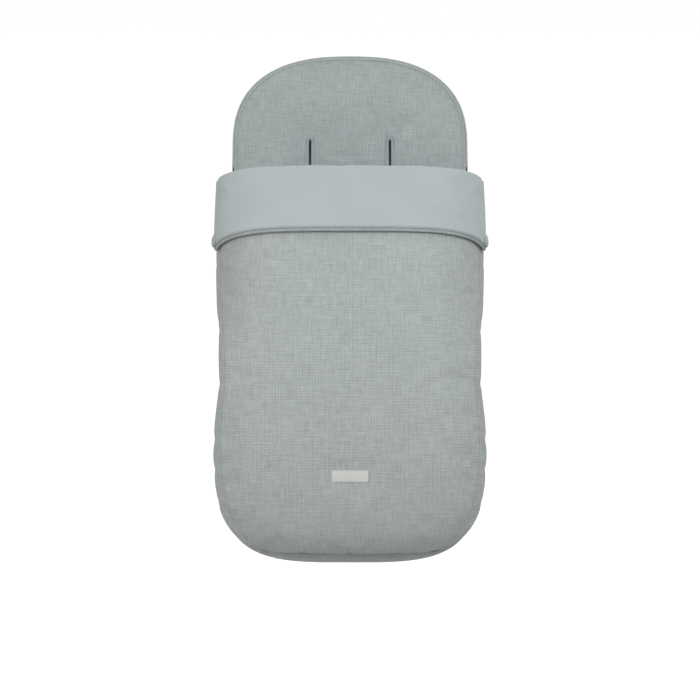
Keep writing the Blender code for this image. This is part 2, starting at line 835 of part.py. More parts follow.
def build_snap(side, sign, cover_axis, cuff_axis, cuff_top):
    lift = cuff_top
    high = CAP_THICKNESS
    cap = [(0.0, high), (CAP_RADIUS * 0.55, high * 0.92), (CAP_RADIUS * 0.86, high * 0.72)]
    cap += [(CAP_RADIUS, high * 0.42), (CAP_RADIUS * 0.96, high * 0.14), (CAP_RADIUS * 0.84, 0.0), (0.0, 0.0)]
    turned(f"snap_cap_{side}", cap, snap_frame(sign, lift), SMOOTH, cuff_axis)
    stud = [(0.0, STUD_THICKNESS), (STUD_RADIUS * 0.8, STUD_THICKNESS)]
    stud += [(STUD_RADIUS, STUD_THICKNESS * 0.6), (STUD_RADIUS, 0.0), (0.0, 0.0)]
    turned(f"snap_stud_{side}", stud, snap_frame(sign, 2 * GAP), METAL, cover_axis)


# Zips

def band(name, sign, places, low, high, inner, outer, finish, parent=None):
    """Straight-sided strip along the mat's edge between two heights and two distances out."""
    rings = []
    for s in places:
        near = sign * (MAT_HALF_WIDTH + inner)
        far = sign * (MAT_HALF_WIDTH + outer)
        rings.append([mat_point(near, s, low), mat_point(far, s, low)])
        rings[-1] += [mat_point(far, s, high), mat_point(near, s, high)]
    return sweep(name, rings, finish, parent)


def zip_stations():
    """Stations of the cover's rows along the zip."""
    return [station for station in cover_rows() if station >= ZIP_BOTTOM]


def build_zip(side, sign, cover_axis):
    stations = zip_stations()
    places = [through(0, station) for station in stations]
    low_teeth = RIM_HEIGHT - CHAIN_GAP / 2 - TEETH_WIDTH
    high_teeth = RIM_HEIGHT + CHAIN_GAP / 2
    teeth = (TEETH_LIFT, TEETH_LIFT + TEETH_HEIGHT, PLASTIC)
    tape = (GAP, GAP + TAPE_THICKNESS, WEBBING)
    band(f"mat_tape_{side}", sign, places, GAP, low_teeth - GAP, *tape)
    band(f"mat_teeth_{side}", sign, places, low_teeth, low_teeth + TEETH_WIDTH, *teeth)
    band(f"cover_teeth_{side}", sign, places, high_teeth, high_teeth + TEETH_WIDTH, *teeth, cover_axis)
    stop = [places[0] - GAP - STOP_LENGTH, places[0] - GAP]
    stop_teeth = (low_teeth, low_teeth + TEETH_WIDTH)
    band(f"zip_stop_{side}", sign, stop, *stop_teeth, GAP, TEETH_LIFT + TEETH_HEIGHT, METAL)
    start = high_teeth + TEETH_WIDTH + TAPE_CLEARANCE - RIM_HEIGHT
    heights = (start, start + TAPE_WIDTH)
    outer = []
    inner = []
    for station in stations:
        for row, lift in ((outer, TAPE_LIFT + TAPE_THICKNESS), (inner, TAPE_LIFT)):
            row.append([wall_point(sign, station, height, lift) for height in heights])
    slab(f"cover_tape_{side}", outer, inner, WEBBING, cover_axis)


def wall_point(sign, station, height, lift):
    """Place on the cover's lowest row of facets, a height above the rim."""
    rim = cover_point(sign, station)
    wall = (cover_point(sign * COVER_ACROSS[-2], station) - rim).normalized()
    normal = cover_normal(sign * (1.0 + COVER_ACROSS[-2]) / 2, station)
    outward = mat_axes(through(0, station))[1]
    reach = (height - lift * normal.dot(outward)) / wall.dot(outward)
    return rim + wall * reach + normal * lift


def box(name, low, high, matrix):
    """Plain block between two corners, in the matrix's own axes."""
    shape = bmesh.new()
    bmesh.ops.create_cube(shape, size=1.0)
    middle = (Vector(low) + Vector(high)) / 2
    size = Vector(high) - Vector(low)
    for corner in shape.verts:
        corner.co = Vector(a * b for a, b in zip(corner.co, size)) + middle
    return block(name, shape, matrix)


def rod(name, radius, length, matrix, sides=14):
    """Plain cylinder along the matrix's Z."""
    shape = bmesh.new()
    bmesh.ops.create_cone(
        shape, cap_ends=True, segments=sides, radius1=radius, radius2=radius, depth=length
    )
    return block(name, shape, matrix)


def block(name, shape, matrix):
    bmesh.ops.transform(shape, matrix=matrix, verts=shape.verts)
    bmesh.ops.recalc_face_normals(shape, faces=shape.faces)
    mesh = bpy.data.meshes.new(name)
    shape.to_mesh(mesh)
    shape.free()
    thing = bpy.data.objects.new(name, mesh)
    CUTTERS.objects.link(thing)
    thing.hide_render = True
    thing.display_type = "WIRE"
    return thing


def joined(name, first, additions, cuts, finish, parent):
    """Piece made of a first block, further blocks joined to it and blocks cut from it."""
    thing = add_object(name, first.data.copy(), finish, parent)
    bpy.data.objects.remove(first)
    for other in additions:
        combine(thing, other, "UNION")
    for other in cuts:
        combine(thing, other, "DIFFERENCE")
    return thing


def slider_frame(sign):
    """Matrix on the slider: X out of the side wall, Y up the zip, Z across the chain."""
    s = COVER_TOP - SLIDER_REST
    along, across = mat_axes(s)
    matrix = Matrix((Vector((sign, 0.0, 0.0)), along, across)).transposed().to_4x4()
    matrix.translation = mat_point(sign * MAT_HALF_WIDTH, s, RIM_HEIGHT)
    return matrix


def build_slider(side, sign, axis):
    frame = slider_frame(sign)
    chain = CHAIN_GAP / 2 + TEETH_WIDTH
    top = TEETH_LIFT + TEETH_HEIGHT + GAP
    plate = top + SLIDER_PLATE
    half = SLIDER_LENGTH / 2
    outer = box(f"plate_{side}", (top, -half, -chain - SLIDER_LIP), (plate, half, chain), frame)
    rear = box(f"rear_{side}", (3 * GAP, -half * 0.8, -chain), (TEETH_LIFT - GAP, half * 0.8, chain), frame)
    post_low = (4 * GAP, half * 0.4, -SLIDER_POST / 2)
    post = box(f"post_{side}", post_low, (top + GAP, half * 0.75, SLIDER_POST / 2), frame)
    lip_low = (TAPE_THICKNESS + 3 * GAP, -half * 0.9, -chain - SLIDER_LIP + GAP)
    lip = box(f"lip_{side}", lip_low, (top + GAP, half * 0.9, -chain - GAP), frame)
    ears = []
    for number, place in enumerate((-1.0, 1.0)):
        near = place * EAR_GAP / 2
        far = place * (EAR_GAP / 2 + EAR_THICKNESS)
        low = (plate - GAP, -EAR_LENGTH / 2, min(near, far))
        high = (plate + PIN_LIFT + PIN_RADIUS * 1.6, EAR_LENGTH / 2, max(near, far))
        ears.append(box(f"ear_{number}_{side}", low, high, frame))
    pin = rod(f"pin_{side}", PIN_RADIUS, EAR_GAP + EAR_THICKNESS, pin_frame(sign))
    return joined(f"slider_{side}", outer, [rear, post, lip, *ears, pin], [], METAL, axis)


def pin_frame(sign):
    lift = TEETH_LIFT + TEETH_HEIGHT + GAP + SLIDER_PLATE + PIN_LIFT
    return slider_frame(sign) @ Matrix.Translation((lift, 0.0, 0.0))


def build_pull(side, sign, axis):
    frame = pin_frame(sign)
    inner = EAR_GAP / 2 - GAP
    thick = PULL_THICKNESS / 2
    eye = rod(f"eye_{side}", EYE_RADIUS, 2 * inner, frame)
    neck = box(f"neck_{side}", (-thick, -PULL_NECK - GAP, -inner * 0.9), (thick, 0.0, inner * 0.9), frame)
    wide = PULL_WIDTH / 2
    tab = box(f"tab_{side}", (-thick * 0.96, -PULL_LENGTH, -wide), (thick * 0.96, -PULL_NECK, wide), frame)
    hole = rod(f"hole_{side}", PIN_RADIUS + GAP, EAR_GAP, frame)
    joined(f"pull_{side}", eye, [neck, tab], [hole], METAL, axis)


def main():
    build_mat()
    build_hood()
    cover_axis = pivot("cover_axis", mat_point(0.0, 0.0, MAT_EDGE))
    build_cover(cover_axis)
    build_foot_cord(cover_axis)
    build_label(cover_axis)
    above = (cover_point(0.0, MOUTH) - cover_point(0.0, MOUTH - 0.1)).normalized() * CUFF_AXIS_RISE
    crest = cover_point(0.0, MOUTH) + cover_normal(0.0, MOUTH) * (CUFF_STANDOFF / 2) + above
    cuff_axis = pivot("cuff_axis", crest, cover_axis)
    cuff_top = build_cuff(cuff_axis)
    for side, sign in SIDES:
        build_snap(side, sign, cover_axis, cuff_axis, cuff_top)
        build_zip(side, sign, cover_axis)
        slider_axis = pivot(f"slider_axis_{side}", slider_frame(sign).translation)
        build_slider(side, sign, slider_axis)
        pull_axis = pivot(f"pull_axis_{side}", pin_frame(sign).translation, slider_axis)
        build_pull(side, sign, pull_axis)


for old in list(bpy.data.objects):
    bpy.data.objects.remove(old, do_unlink=True)
PARTS = new_collection("stroller_footmuff")
CUTTERS = new_collection("cutters")
main()
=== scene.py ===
"""Looks of a padded footmuff: cloth, seams, welts, zips and snaps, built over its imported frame."""
import math
import bmesh
import bpy
import numpy as np
from mathutils import Matrix, Vector


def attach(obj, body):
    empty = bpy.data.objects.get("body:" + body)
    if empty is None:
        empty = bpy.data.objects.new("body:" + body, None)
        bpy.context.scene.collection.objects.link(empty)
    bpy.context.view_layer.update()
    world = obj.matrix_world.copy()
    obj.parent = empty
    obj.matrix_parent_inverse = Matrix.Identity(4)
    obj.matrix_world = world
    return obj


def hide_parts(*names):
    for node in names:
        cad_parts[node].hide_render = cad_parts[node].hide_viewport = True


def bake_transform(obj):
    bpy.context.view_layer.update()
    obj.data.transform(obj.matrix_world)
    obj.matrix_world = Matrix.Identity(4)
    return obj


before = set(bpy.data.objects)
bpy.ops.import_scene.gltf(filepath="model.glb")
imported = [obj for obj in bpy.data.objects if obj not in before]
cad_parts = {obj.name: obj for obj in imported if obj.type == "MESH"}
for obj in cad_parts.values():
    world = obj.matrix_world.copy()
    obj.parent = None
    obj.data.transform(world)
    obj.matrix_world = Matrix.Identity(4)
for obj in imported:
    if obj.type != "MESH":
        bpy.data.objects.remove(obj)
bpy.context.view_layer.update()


# Sizes shared with the solids, in metres
CALF_LENGTH = 0.3217
CALF_ANGLE = math.radians(75.6)
KNEE_RADIUS = 0.080
SEAT_FLAT = 0.096
BIGHT_RADIUS = 0.090
BACK_ANGLE = math.radians(64.8)
BACK_LENGTH = 0.495
MAT_HALF_WIDTH = 0.233
MAT_EDGE = 0.010
MAT_THICKNESS = 0.022
MAT_BORDER = 0.038
MAT_CROWN_REACH = 0.060
ARCH_HEIGHT = 0.185
ARCH_POWER = 2.5
FOOT_HEIGHT = 0.185
FOOT_POWER = 3.6
SEAM_INSET = 0.006
SLOT_OPENING = 0.0055
SHOULDER_SLOT = (0.080, 0.179, 0.095)
WAIST_SLOT = (0.120, 0.055, 0.055)
CROTCH_SLOT = (0.030, 0.055)
HOOD_DROP = 0.240
HOOD_DEPTH = 0.034
HOOD_PROUD = 0.004
HOOD_TOP_ROUND = 0.060
HOOD_POWER = 4.0
COVER_RISE = 0.20766
COVER_DEPTH = 0.28511
COVER_SWELL = 0.0227
COVER_CORNER = 0.62
COVER_FOOT_INSET = 0.012
COVER_FOOT_BLEND = 0.200
COVER_THICK = 0.0090
RIM_HEIGHT = MAT_EDGE + 0.0005
CUFF_LENGTH = 0.142
CUFF_WING = 0.745
CUFF_STANDOFF = 0.0028
CUFF_THICK = 0.0062
SNAP_INSET = 0.0125
CHAIN_GAP = 0.0024
TEETH_LIFT = 0.0018
TEETH = 0.0020
PATH = (
    (CALF_LENGTH, 0.0),
    (KNEE_RADIUS * CALF_ANGLE, -1.0 / KNEE_RADIUS),
    (SEAT_FLAT, 0.0),
    (BIGHT_RADIUS * BACK_ANGLE, 1.0 / BIGHT_RADIUS),
    (BACK_LENGTH, 0.0),
)
ENDS = np.concatenate(([0.0], np.cumsum([length for length, bend in PATH])))
MAT_LENGTH = ENDS[5]
SEAT_MIDDLE = (ENDS[2] + ENDS[3]) / 2
CALF, KNEE, SEAT, BIGHT, BACK = range(5)
COVER_SECTIONS = (
    (CALF, 0.0933, 0.0367, -90.02, 0.00, 2.7),
    (CALF, 0.1172, 0.1270, -23.83, 0.18, 2.9),
    (CALF, 0.1576, 0.2245, -11.73, 0.31, 3.1),
    (CALF, 0.2446, 0.2977, -5.69, 0.44, 3.3),
    (CALF, 0.4156, 0.3629, -3.49, 0.51, 3.8),
    (CALF, 0.6954, 0.4089, 1.75, 0.44, 4.4),
    (KNEE, 0.0663, 0.4060, 0.76, 0.04, 4.6),
    (SEAT, 0.3275, 0.6948, -66.34, 0.35, 4.4),
    (BIGHT, 0.6429, 1.0000, -17.91, 0.73, 4.2),
    (BACK, 0.4029, 0.9180, 1.64, 0.96, 3.9),
    (BACK, 1.0000, 0.8004, -4.42, 1.00, 3.7),
)
MOUTH = 10.0
SIDES = (("left", -1.0), ("right", 1.0))


# Shape of the mat

def follow(s):
    """Height and heading of the mat's underside at distances from the foot."""
    left = np.array(s, dtype=float)
    y = np.zeros_like(left)
    z = np.zeros_like(left)
    heading = np.full_like(left, CALF_ANGLE)
    for index, (length, bend) in enumerate(PATH):
        step = left if index == BACK else np.minimum(left, length)
        if bend == 0.0:
            y = y + step * np.cos(heading)
            z = z + step * np.sin(heading)
        else:
            turned = heading + bend * step
            y = y + (np.sin(turned) - np.sin(heading)) / bend
            z = z + (np.cos(heading) - np.cos(turned)) / bend
            heading = turned
        left = left - step
    return y, z, heading


ORIGIN_Y, ORIGIN_Z = [float(value) for value in follow(SEAT_MIDDLE)[:2]]


def mat_point(x, s, height):
    """Places across the mat, along it from the foot, and out from its underside."""
    x, s, height = np.broadcast_arrays(x, s, height)
    y, z, heading = follow(s)
    y = y - ORIGIN_Y - np.sin(heading) * height
    return np.stack((x, y, z - ORIGIN_Z + np.cos(heading) * height), axis=-1)


def mat_axes(s):
    """Directions along the mat and out of its front."""
    heading = float(follow(s)[2])
    rise, ahead = math.sin(heading), math.cos(heading)
    return np.array((0.0, ahead, rise)), np.array((0.0, -rise, ahead))


def distances(points):
    """Distance of every point of a line from its first one, along it."""
    return np.concatenate(([0.0], np.cumsum(np.linalg.norm(np.diff(points, axis=0), axis=1))))


def paired(a, b):
    """Two arrays spread over one grid, as pairs of values."""
    return np.stack(np.broadcast_arrays(a, b), axis=-1)


def end_share(distance, reach, power):
    """Share of its full width that a rounded end has at a distance from its tip."""
    left = 1.0 - np.clip(distance / reach, 0.0, 1.0)
    return (1.0 - left ** power) ** (1.0 / power)


def half_width(s, inset=0.0):
    foot = end_share(s - inset, FOOT_HEIGHT - inset, FOOT_POWER)
    arch = end_share(MAT_LENGTH - inset - s, ARCH_HEIGHT - inset, ARCH_POWER)
    return (MAT_HALF_WIDTH - inset) * np.minimum(foot, arch)


def ease(value):
    value = np.clip(value, 0.0, 1.0)
    return value * value * (3.0 - 2.0 * value)


def edge_distance(x, s):
    """Distance of places on the mat from its edge, found by halving."""
    x, s = np.broadcast_arrays(x, s)
    low = np.zeros(x.shape)
    high = np.full(x.shape, MAT_BORDER + MAT_CROWN_REACH)
    for halving in range(16):
        middle = (low + high) / 2
        inside = np.abs(x) < half_width(s, middle)
        low = np.where(inside, middle, low)
        high = np.where(inside, high, middle)
    return low


def mat_top(x, s):
    share = ease((edge_distance(x, s) - MAT_BORDER) / MAT_CROWN_REACH)
    return MAT_EDGE + (MAT_THICKNESS - MAT_EDGE) * share


# Shape of the cover

def cover_station(stretch, share, depth, lean, swell, squareness):
    length = COVER_RISE if stretch == BACK else PATH[stretch][0]
    s = ENDS[stretch] + share * length
    along, outward = mat_axes(s)
    lean = math.radians(lean)
    deep = (outward * math.cos(lean) + along * math.sin(lean)) * depth * COVER_DEPTH
    front = mat_point(0.0, s, RIM_HEIGHT) + deep
    return s, front[1], front[2], swell * COVER_SWELL, squareness


STATIONS = np.array([cover_station(*section) for section in COVER_SECTIONS])


def through(position):
    """Smooth values of all the station columns at a station number."""
    last = len(STATIONS) - 1
    index = min(max(int(math.floor(position)), 0), last - 1)
    t = position - index
    b, c = STATIONS[index], STATIONS[index + 1]
    a = STATIONS[index - 1] if index > 0 else 2 * b - c
    d = STATIONS[index + 2] if index < last - 1 else 2 * c - b
    return b + 0.5 * t * (c - a + t * (2 * a - 5 * b + 4 * c - d + t * (3 * (b - c) + d - a)))


def cover_point(across, station):
    """Outer surface of the cover at places across one section."""
    across = np.asarray(across, dtype=float)
    s, y, z, swell, power = through(station)
    rim = mat_point(0.0, s, RIM_HEIGHT)
    deep = np.array((0.0, y, z)) - rim
    depth = np.linalg.norm(deep)
    angle = np.linspace(0.0, math.pi / 2, 96)
    inset = COVER_FOOT_INSET * (1.0 - float(ease(s / COVER_FOOT_BLEND)))
    x = (float(half_width(s, inset)) + swell) * np.abs(np.cos(angle)) ** (2.0 / power)
    q = depth * np.abs(np.sin(angle)) ** (2.0 / power)
    x = x - swell * np.cos(0.5 * math.pi * np.minimum(q / (0.45 * depth), 1.0)) ** 2
    lengths = np.concatenate(([0.0], np.cumsum(np.hypot(np.diff(x), np.diff(q)))))
    reach = np.interp(np.abs(across), (0.0, COVER_CORNER, 1.0), (lengths[-1], lengths[48], 0.0))
    out = np.interp(reach, lengths, q)[:, None] * (deep / depth) + rim
    out[:, 0] = np.interp(reach, lengths, x) * np.sign(across)
    return out


def cover_normal(across, station):
    """Directions out of the cover, level with the mat where the cover meets it."""
    across = np.asarray(across, dtype=float)
    small = 0.004
    a = np.where((np.abs(across) == 1.0) & (station == 0.0), 0.96 * np.sign(across), across)
    low, high = max(station - small, 0.0), min(station + small, MOUTH)
    left, right = np.maximum(a - small, -1.0), np.minimum(a + small, 1.0)
    along = cover_point(a, high) - cover_point(a, low)
    over = cover_point(right, station) - cover_point(left, station)
    normal = np.cross(over, along)
    outward = mat_axes(through(station)[0])[1]
    level = (np.abs(across) == 1.0) | (station == 0.0)
    normal = normal - np.where(level, normal @ outward, 0.0)[:, None] * outward
    return normal / np.linalg.norm(normal, axis=1)[:, None]


def cover_grid(acrosses, stations):
    points = np.array([cover_point(acrosses, v) for v in stations])
    normals = np.array([cover_normal(acrosses, v) for v in stations])
    return points, normals


def station_at(s):
    """Station number at a distance along the mat, found by halving."""
    low, high = 0.0, MOUTH
    for halving in range(30):
        middle = (low + high) / 2
        if through(middle)[0] < s:
            low = middle
        else:
            high = middle
    return low


PACE_REACH = 0.05


def front_pace(station):
    """Metres that the cover's front is long for one station."""
    low, high = station - PACE_REACH, min(station + PACE_REACH, MOUTH)
    length = np.linalg.norm(cover_point([0.0], high)[0] - cover_point([0.0], low)[0])
    return float(length / (high - station + PACE_REACH))


def cuff_low():
    """Station number of the cuff's lower edge."""
    stations = np.arange(MOUTH, 6.5, -0.01)
    run = distances(np.array([cover_point([0.0], v)[0] for v in stations]))
    return float(np.interp(CUFF_LENGTH, run, stations))


CUFF_LOW = cuff_low()


# Materials

class Nodes:
    """Nodes of a material or of the world, each call giving the output of a new one."""

    def __init__(self, owner):
        owner.use_nodes = True
        self.tree = owner.node_tree

    def put(self, node, inputs):
        """Links or sets the named inputs of a node."""
        for name, value in inputs.items():
            if isinstance(value, bpy.types.NodeSocket):
                self.tree.links.new(value, node.inputs[name])
            elif value is not None:
                node.inputs[name].default_value = value

    def node(self, kind, output, inputs=None, **settings):
        """Output of a new node with these inputs and settings."""
        made = self.tree.nodes.new(kind)
        for key, value in settings.items():
            setattr(made, key, value)
        self.put(made, inputs or {})
        return made.outputs[output]

    def ray(self, kind):
        return self.node("ShaderNodeLightPath", f"Is {kind} Ray")

    def math(self, operation, a, b, c=None):
        return self.node("ShaderNodeMath", "Value", {0: a, 1: b, 2: c}, operation=operation)

    def mix(self, a, share, b):
        """Value a times share, plus value b times the rest of it."""
        return self.math("MULTIPLY_ADD", a, share, self.math("MULTIPLY", b, 1.0 - share))

    def spread(self, value, low, high, new_low, new_high):
        inputs = {"Value": value, "From Min": low, "From Max": high, "To Min": new_low, "To Max": new_high}
        return self.node("ShaderNodeMapRange", "Result", inputs)

    def cloth(self):
        return self.node("ShaderNodeUVMap", "UV", uv_map="cloth")

    def solid(self):
        return self.node("ShaderNodeTexCoord", "Object")

    def scaled(self, vector, scale, turn=0.0):
        inputs = {"Vector": vector, "Scale": scale, "Rotation": (0.0, 0.0, turn)}
        return self.node("ShaderNodeMapping", "Vector", inputs)

    def noise(self, vector, scale, detail=2.0, rough=0.5):
        inputs = {"Vector": self.scaled(vector, scale), "Scale": 1.0, "Detail": detail, "Roughness": rough}
        return self.node("ShaderNodeTexNoise", "Fac", inputs)

    def wave(self, vector, scale, bands, distortion, turn=0.0):
        inputs = {"Vector": self.scaled(vector, scale, turn), "Scale": 1.0, "Distortion": distortion,
                  "Detail": 1.0, "Detail Scale": 1.5}
        return self.node("ShaderNodeTexWave", "Fac", inputs, bands_direction=bands)


class Look(Nodes):
    """A procedural material."""

    def __init__(self, name, colour, roughness, metallic=0.0, sheen=0.0):
        self.material = bpy.data.materials.new(name)
        super().__init__(self.material)
        self.colour = colour
        self.shade({"Base Color": (*colour, 1.0), "Roughness": roughness, "Metallic": metallic,
                    "Sheen Weight": sheen, "Sheen Roughness": 0.5})

    def shade(self, inputs):
        self.put(self.tree.nodes["Principled BSDF"], inputs)

    def paint(self, strength):
        """Base colour times a strength that changes over the surface."""
        inputs = {0: self.colour, "Scale": strength}
        self.shade({"Base Color": self.node("ShaderNodeVectorMath", "Vector", inputs, operation="SCALE")})

    def bump(self, height, distance, strength):
        inputs = {"Distance": distance, "Strength": strength, "Height": height}
        self.shade({"Normal": self.node("ShaderNodeBump", "Normal", inputs)})


def woven(name, colour, contrast=1.0):
    """Slubby waffle cloth: uneven threads both ways and small raised cells."""
    look = Look(name, colour, 0.94, sheen=0.12)
    cloth = look.cloth()
    warp = look.noise(cloth, (290.0, 32.0, 1.0), 3.0, 0.6)
    weft = look.noise(cloth, (32.0, 290.0, 1.0), 3.0, 0.6)
    fine_warp = look.noise(cloth, (1500.0, 120.0, 1.0), 1.0)
    fine_weft = look.noise(cloth, (120.0, 1500.0, 1.0), 1.0)
    ribs_up, ribs_over = [look.wave(cloth, (68.0, 68.0, 1.0), bands, 1.6) for bands in "XY"]
    cells = look.math("MULTIPLY", ribs_up, ribs_over)
    threads = look.math("ADD", warp, weft)
    fine = look.math("ADD", fine_warp, fine_weft)
    height = look.math("MULTIPLY_ADD", threads, 0.62, look.math("MULTIPLY", cells, 0.26))
    height = look.math("MULTIPLY_ADD", fine, 0.12, height)
    tone = look.spread(height, 0.50, 1.10, 1.0 - 0.25 * contrast, 1.0 + 0.27 * contrast)
    cloud = look.spread(look.noise(cloth, (9.0, 9.0, 1.0), 3.0), 0.25, 0.75, 0.965, 1.035)
    look.paint(look.math("MULTIPLY", tone, cloud))
    look.bump(height, 0.0011, 0.75)
    return look.material


def plain(name, colour):
    """Fine, smooth polyester cloth with a soft sheen."""
    look = Look(name, colour, 0.82, sheen=0.25)
    cloth = look.cloth()
    weave = look.wave(cloth, (330.0, 330.0, 330.0), "X", 0.3, 0.785)
    height = look.mix(weave, 0.5, look.noise(cloth, (900.0, 150.0, 500.0)))
    tone = look.spread(height, 0.2, 0.8, 0.97, 1.03)
    cloud = look.spread(look.noise(cloth, (14.0, 14.0, 14.0), 3.0), 0.25, 0.75, 0.97, 1.03)
    look.paint(look.math("MULTIPLY", tone, cloud))
    look.bump(height, 0.0003, 0.4)
    return look.material


def ribbed(name, colour, pitch):
    """Narrow woven tape with ribs across it."""
    look = Look(name, colour, 0.88, sheen=0.1)
    cloth = look.cloth()
    scale = 0.314 / pitch
    ribs = look.wave(cloth, (scale, scale, 1.0), "X", 0.2)
    height = look.mix(ribs, 0.6, look.noise(cloth, (220.0, 1400.0, 1.0)))
    look.paint(look.spread(height, 0.2, 0.8, 0.86, 1.1))
    look.bump(height, 0.0004, 0.6)
    return look.material


def moulded(name, colour, roughness, metallic=0.0):
    """Moulded plastic or brushed metal with small wear."""
    look = Look(name, colour, roughness, metallic)
    solid = look.solid()
    wear = look.noise(solid, (70.0, 70.0, 70.0), 4.0, 0.6)
    look.paint(look.spread(wear, 0.3, 0.7, 0.9, 1.08))
    look.shade({"Roughness": look.spread(wear, 0.3, 0.7, roughness - 0.08, roughness + 0.1)})
    look.bump(look.noise(solid, (900.0, 900.0, 2600.0)), 0.00005, 0.3)
    return look.material


def threads(name, colour):
    """Twisted sewing thread."""
    look = Look(name, colour, 0.7, sheen=0.2)
    twist = look.noise(look.solid(), (1800.0, 1800.0, 1800.0))
    look.paint(look.spread(twist, 0.3, 0.7, 0.88, 1.1))
    look.bump(twist, 0.0001, 0.4)
    return look.material


WOVEN = woven("woven_cloth_detailed", (0.415, 0.454, 0.445))
# The cover's woven cloth made darker and bluer for the mat: painted shade of the recessed back panel.
MAT_WOVEN_SHADED = woven("mat_cloth_painted_shade", (0.385, 0.432, 0.429))
BINDING = woven("woven_edge", (0.37, 0.41, 0.405), 1.4)
SMOOTH = plain("smooth_cloth_detailed", (0.462, 0.520, 0.532))
WELT = plain("slot_cloth", (0.35, 0.395, 0.41))
# Woven strip round the hood, lighter than the cover's cloth: painted light that cancels the shade on its
# sideways face.
BAND_LIGHTENED = woven("hood_strip_painted_light", (0.455, 0.50, 0.492))
BUTTON = plain("button_cloth", (0.43, 0.485, 0.50))
# Near-black cloth for the faces over the cuff's seam groove: painted shade in the groove, not the cloth's
# colour.
SEAM_SHADE = plain("painted_seam_shade", (0.15, 0.17, 0.175))
TAPE = ribbed("zip_tape_detailed", (0.34, 0.38, 0.385), 0.0016)
HEM = ribbed("hem_cloth", (0.42, 0.475, 0.487), 0.0024)
TEETH_LOOK = moulded("zip_teeth_detailed", (0.33, 0.37, 0.375), 0.45)
METAL = moulded("zip_metal_detailed", (0.55, 0.56, 0.57), 0.34, 1.0)
LABEL = ribbed("label_cloth_detailed", (0.72, 0.73, 0.695), 0.0007)
# Thread for the rows round the slots and along the cuff's edge, darkened so that they stand in for the shadow
# lines there: thread colour and painted shade.
THREAD_SHADE_DARK = threads("sewing_thread_painted_shade", (0.31, 0.35, 0.35))
CLOTH_THREAD = threads("cloth_thread", (0.40, 0.44, 0.43))
PALE_THREAD = threads("label_thread", (0.55, 0.57, 0.55))


# Meshes

def quads(rows, columns, loop=False):
    """Faces of a grid of points; loop joins its last column to its first."""
    i, j = np.meshgrid(np.arange(rows - 1), np.arange(columns - 1 + loop), indexing="ij")
    k = (j + 1) % columns
    here, there = i * columns, (i + 1) * columns
    return np.stack((here + j, here + k, there + k, there + j), axis=-1).reshape(-1, 4)


def ring_faces(rows, columns):
    """Faces of a grid that closes into a ring both ways."""
    last = (rows - 1) * columns
    closing = [(last + j, last + (j + 1) % columns, (j + 1) % columns, j) for j in range(columns)]
    return quads(rows, columns, loop=True).tolist() + closing


def rod_faces(rows, columns):
    """Faces round a row of rings of points, with one face over each end."""
    ends = [list(range(columns)), [(rows - 1) * columns + j for j in range(columns)]]
    return quads(rows, columns, loop=True).tolist() + ends


def link(name, data, place=(0.0, 0.0, 0.0)):
    """New object in the scene."""
    thing = bpy.data.objects.new(name, data)
    thing.location = place
    bpy.context.scene.collection.objects.link(thing)
    return thing


def piece(name, points, faces, looks, body, uv=None, slots=None):
    """Object of points and faces, with its cloth coordinates in metres; body None leaves it unattached."""
    mesh = bpy.data.meshes.new(name)
    faces = [list(map(int, face)) for face in faces]
    mesh.from_pydata(np.asarray(points, dtype=float).reshape(-1, 3).tolist(), [], faces)
    if uv is not None:
        layer = mesh.uv_layers.new(name="cloth")
        loops = np.empty(len(mesh.loops), dtype=np.int32)
        mesh.loops.foreach_get("vertex_index", loops)
        layer.data.foreach_set("uv", np.asarray(uv, dtype=float).reshape(-1, 2)[loops].ravel())
    for look in looks:
        mesh.materials.append(look)
    if slots is not None:
        mesh.polygons.foreach_set("material_index", np.asarray(slots, dtype=np.int32))
    shape = bmesh.new()
    shape.from_mesh(mesh)
    bmesh.ops.recalc_face_normals(shape, faces=shape.faces)
    shape.to_mesh(mesh)
    shape.free()
    mesh.shade_smooth()
    thing = link(name, mesh)
    if body is not None:
        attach(thing, body)
    return thing


def unit(vectors):
    return vectors / np.maximum(np.linalg.norm(vectors, axis=-1, keepdims=True), 1e-12)


def route_round(columns, i0, i1, j0, j1):
    """Numbers of the points round the block of a grid from row i0 to i1 and column j0 to j1."""
    low = [i0 * columns + j for j in range(j0, j1 + 1)]
    right = [i * columns + j1 for i in range(i0 + 1, i1 + 1)]
    high = [i1 * columns + j for j in range(j1 - 1, j0 - 1, -1)]
    left = [i * columns + j0 for i in range(i1 - 1, i0, -1)]
    return np.array(low + right + high + left)


def rim_rings(front, back, uv, route, steps, bulge):
    """Rings of points that round the edge between two faces, with their cloth coordinates."""
    a, b, flat = front[route], back[route], uv[route]
    run = np.roll(a, -1, axis=0) - np.roll(a, 1, axis=0)
    out = unit(np.cross(run, b - a))
    flat_run = np.roll(flat, -1, axis=0) - np.roll(flat, 1, axis=0)
    flat_out = unit(np.stack((flat_run[:, 1], -flat_run[:, 0]), axis=-1))
    middle, half = (a + b) / 2, np.linalg.norm(b - a, axis=1, keepdims=True) / 2
    rings, flats = [], []
    for k in range(1, steps + 1):
        angle = math.pi * k / (steps + 1)
        rings.append(middle + (a - middle) * math.cos(angle) + out * half * bulge * math.sin(angle))
        flats.append(flat + flat_out * half * angle)
    return rings, flats


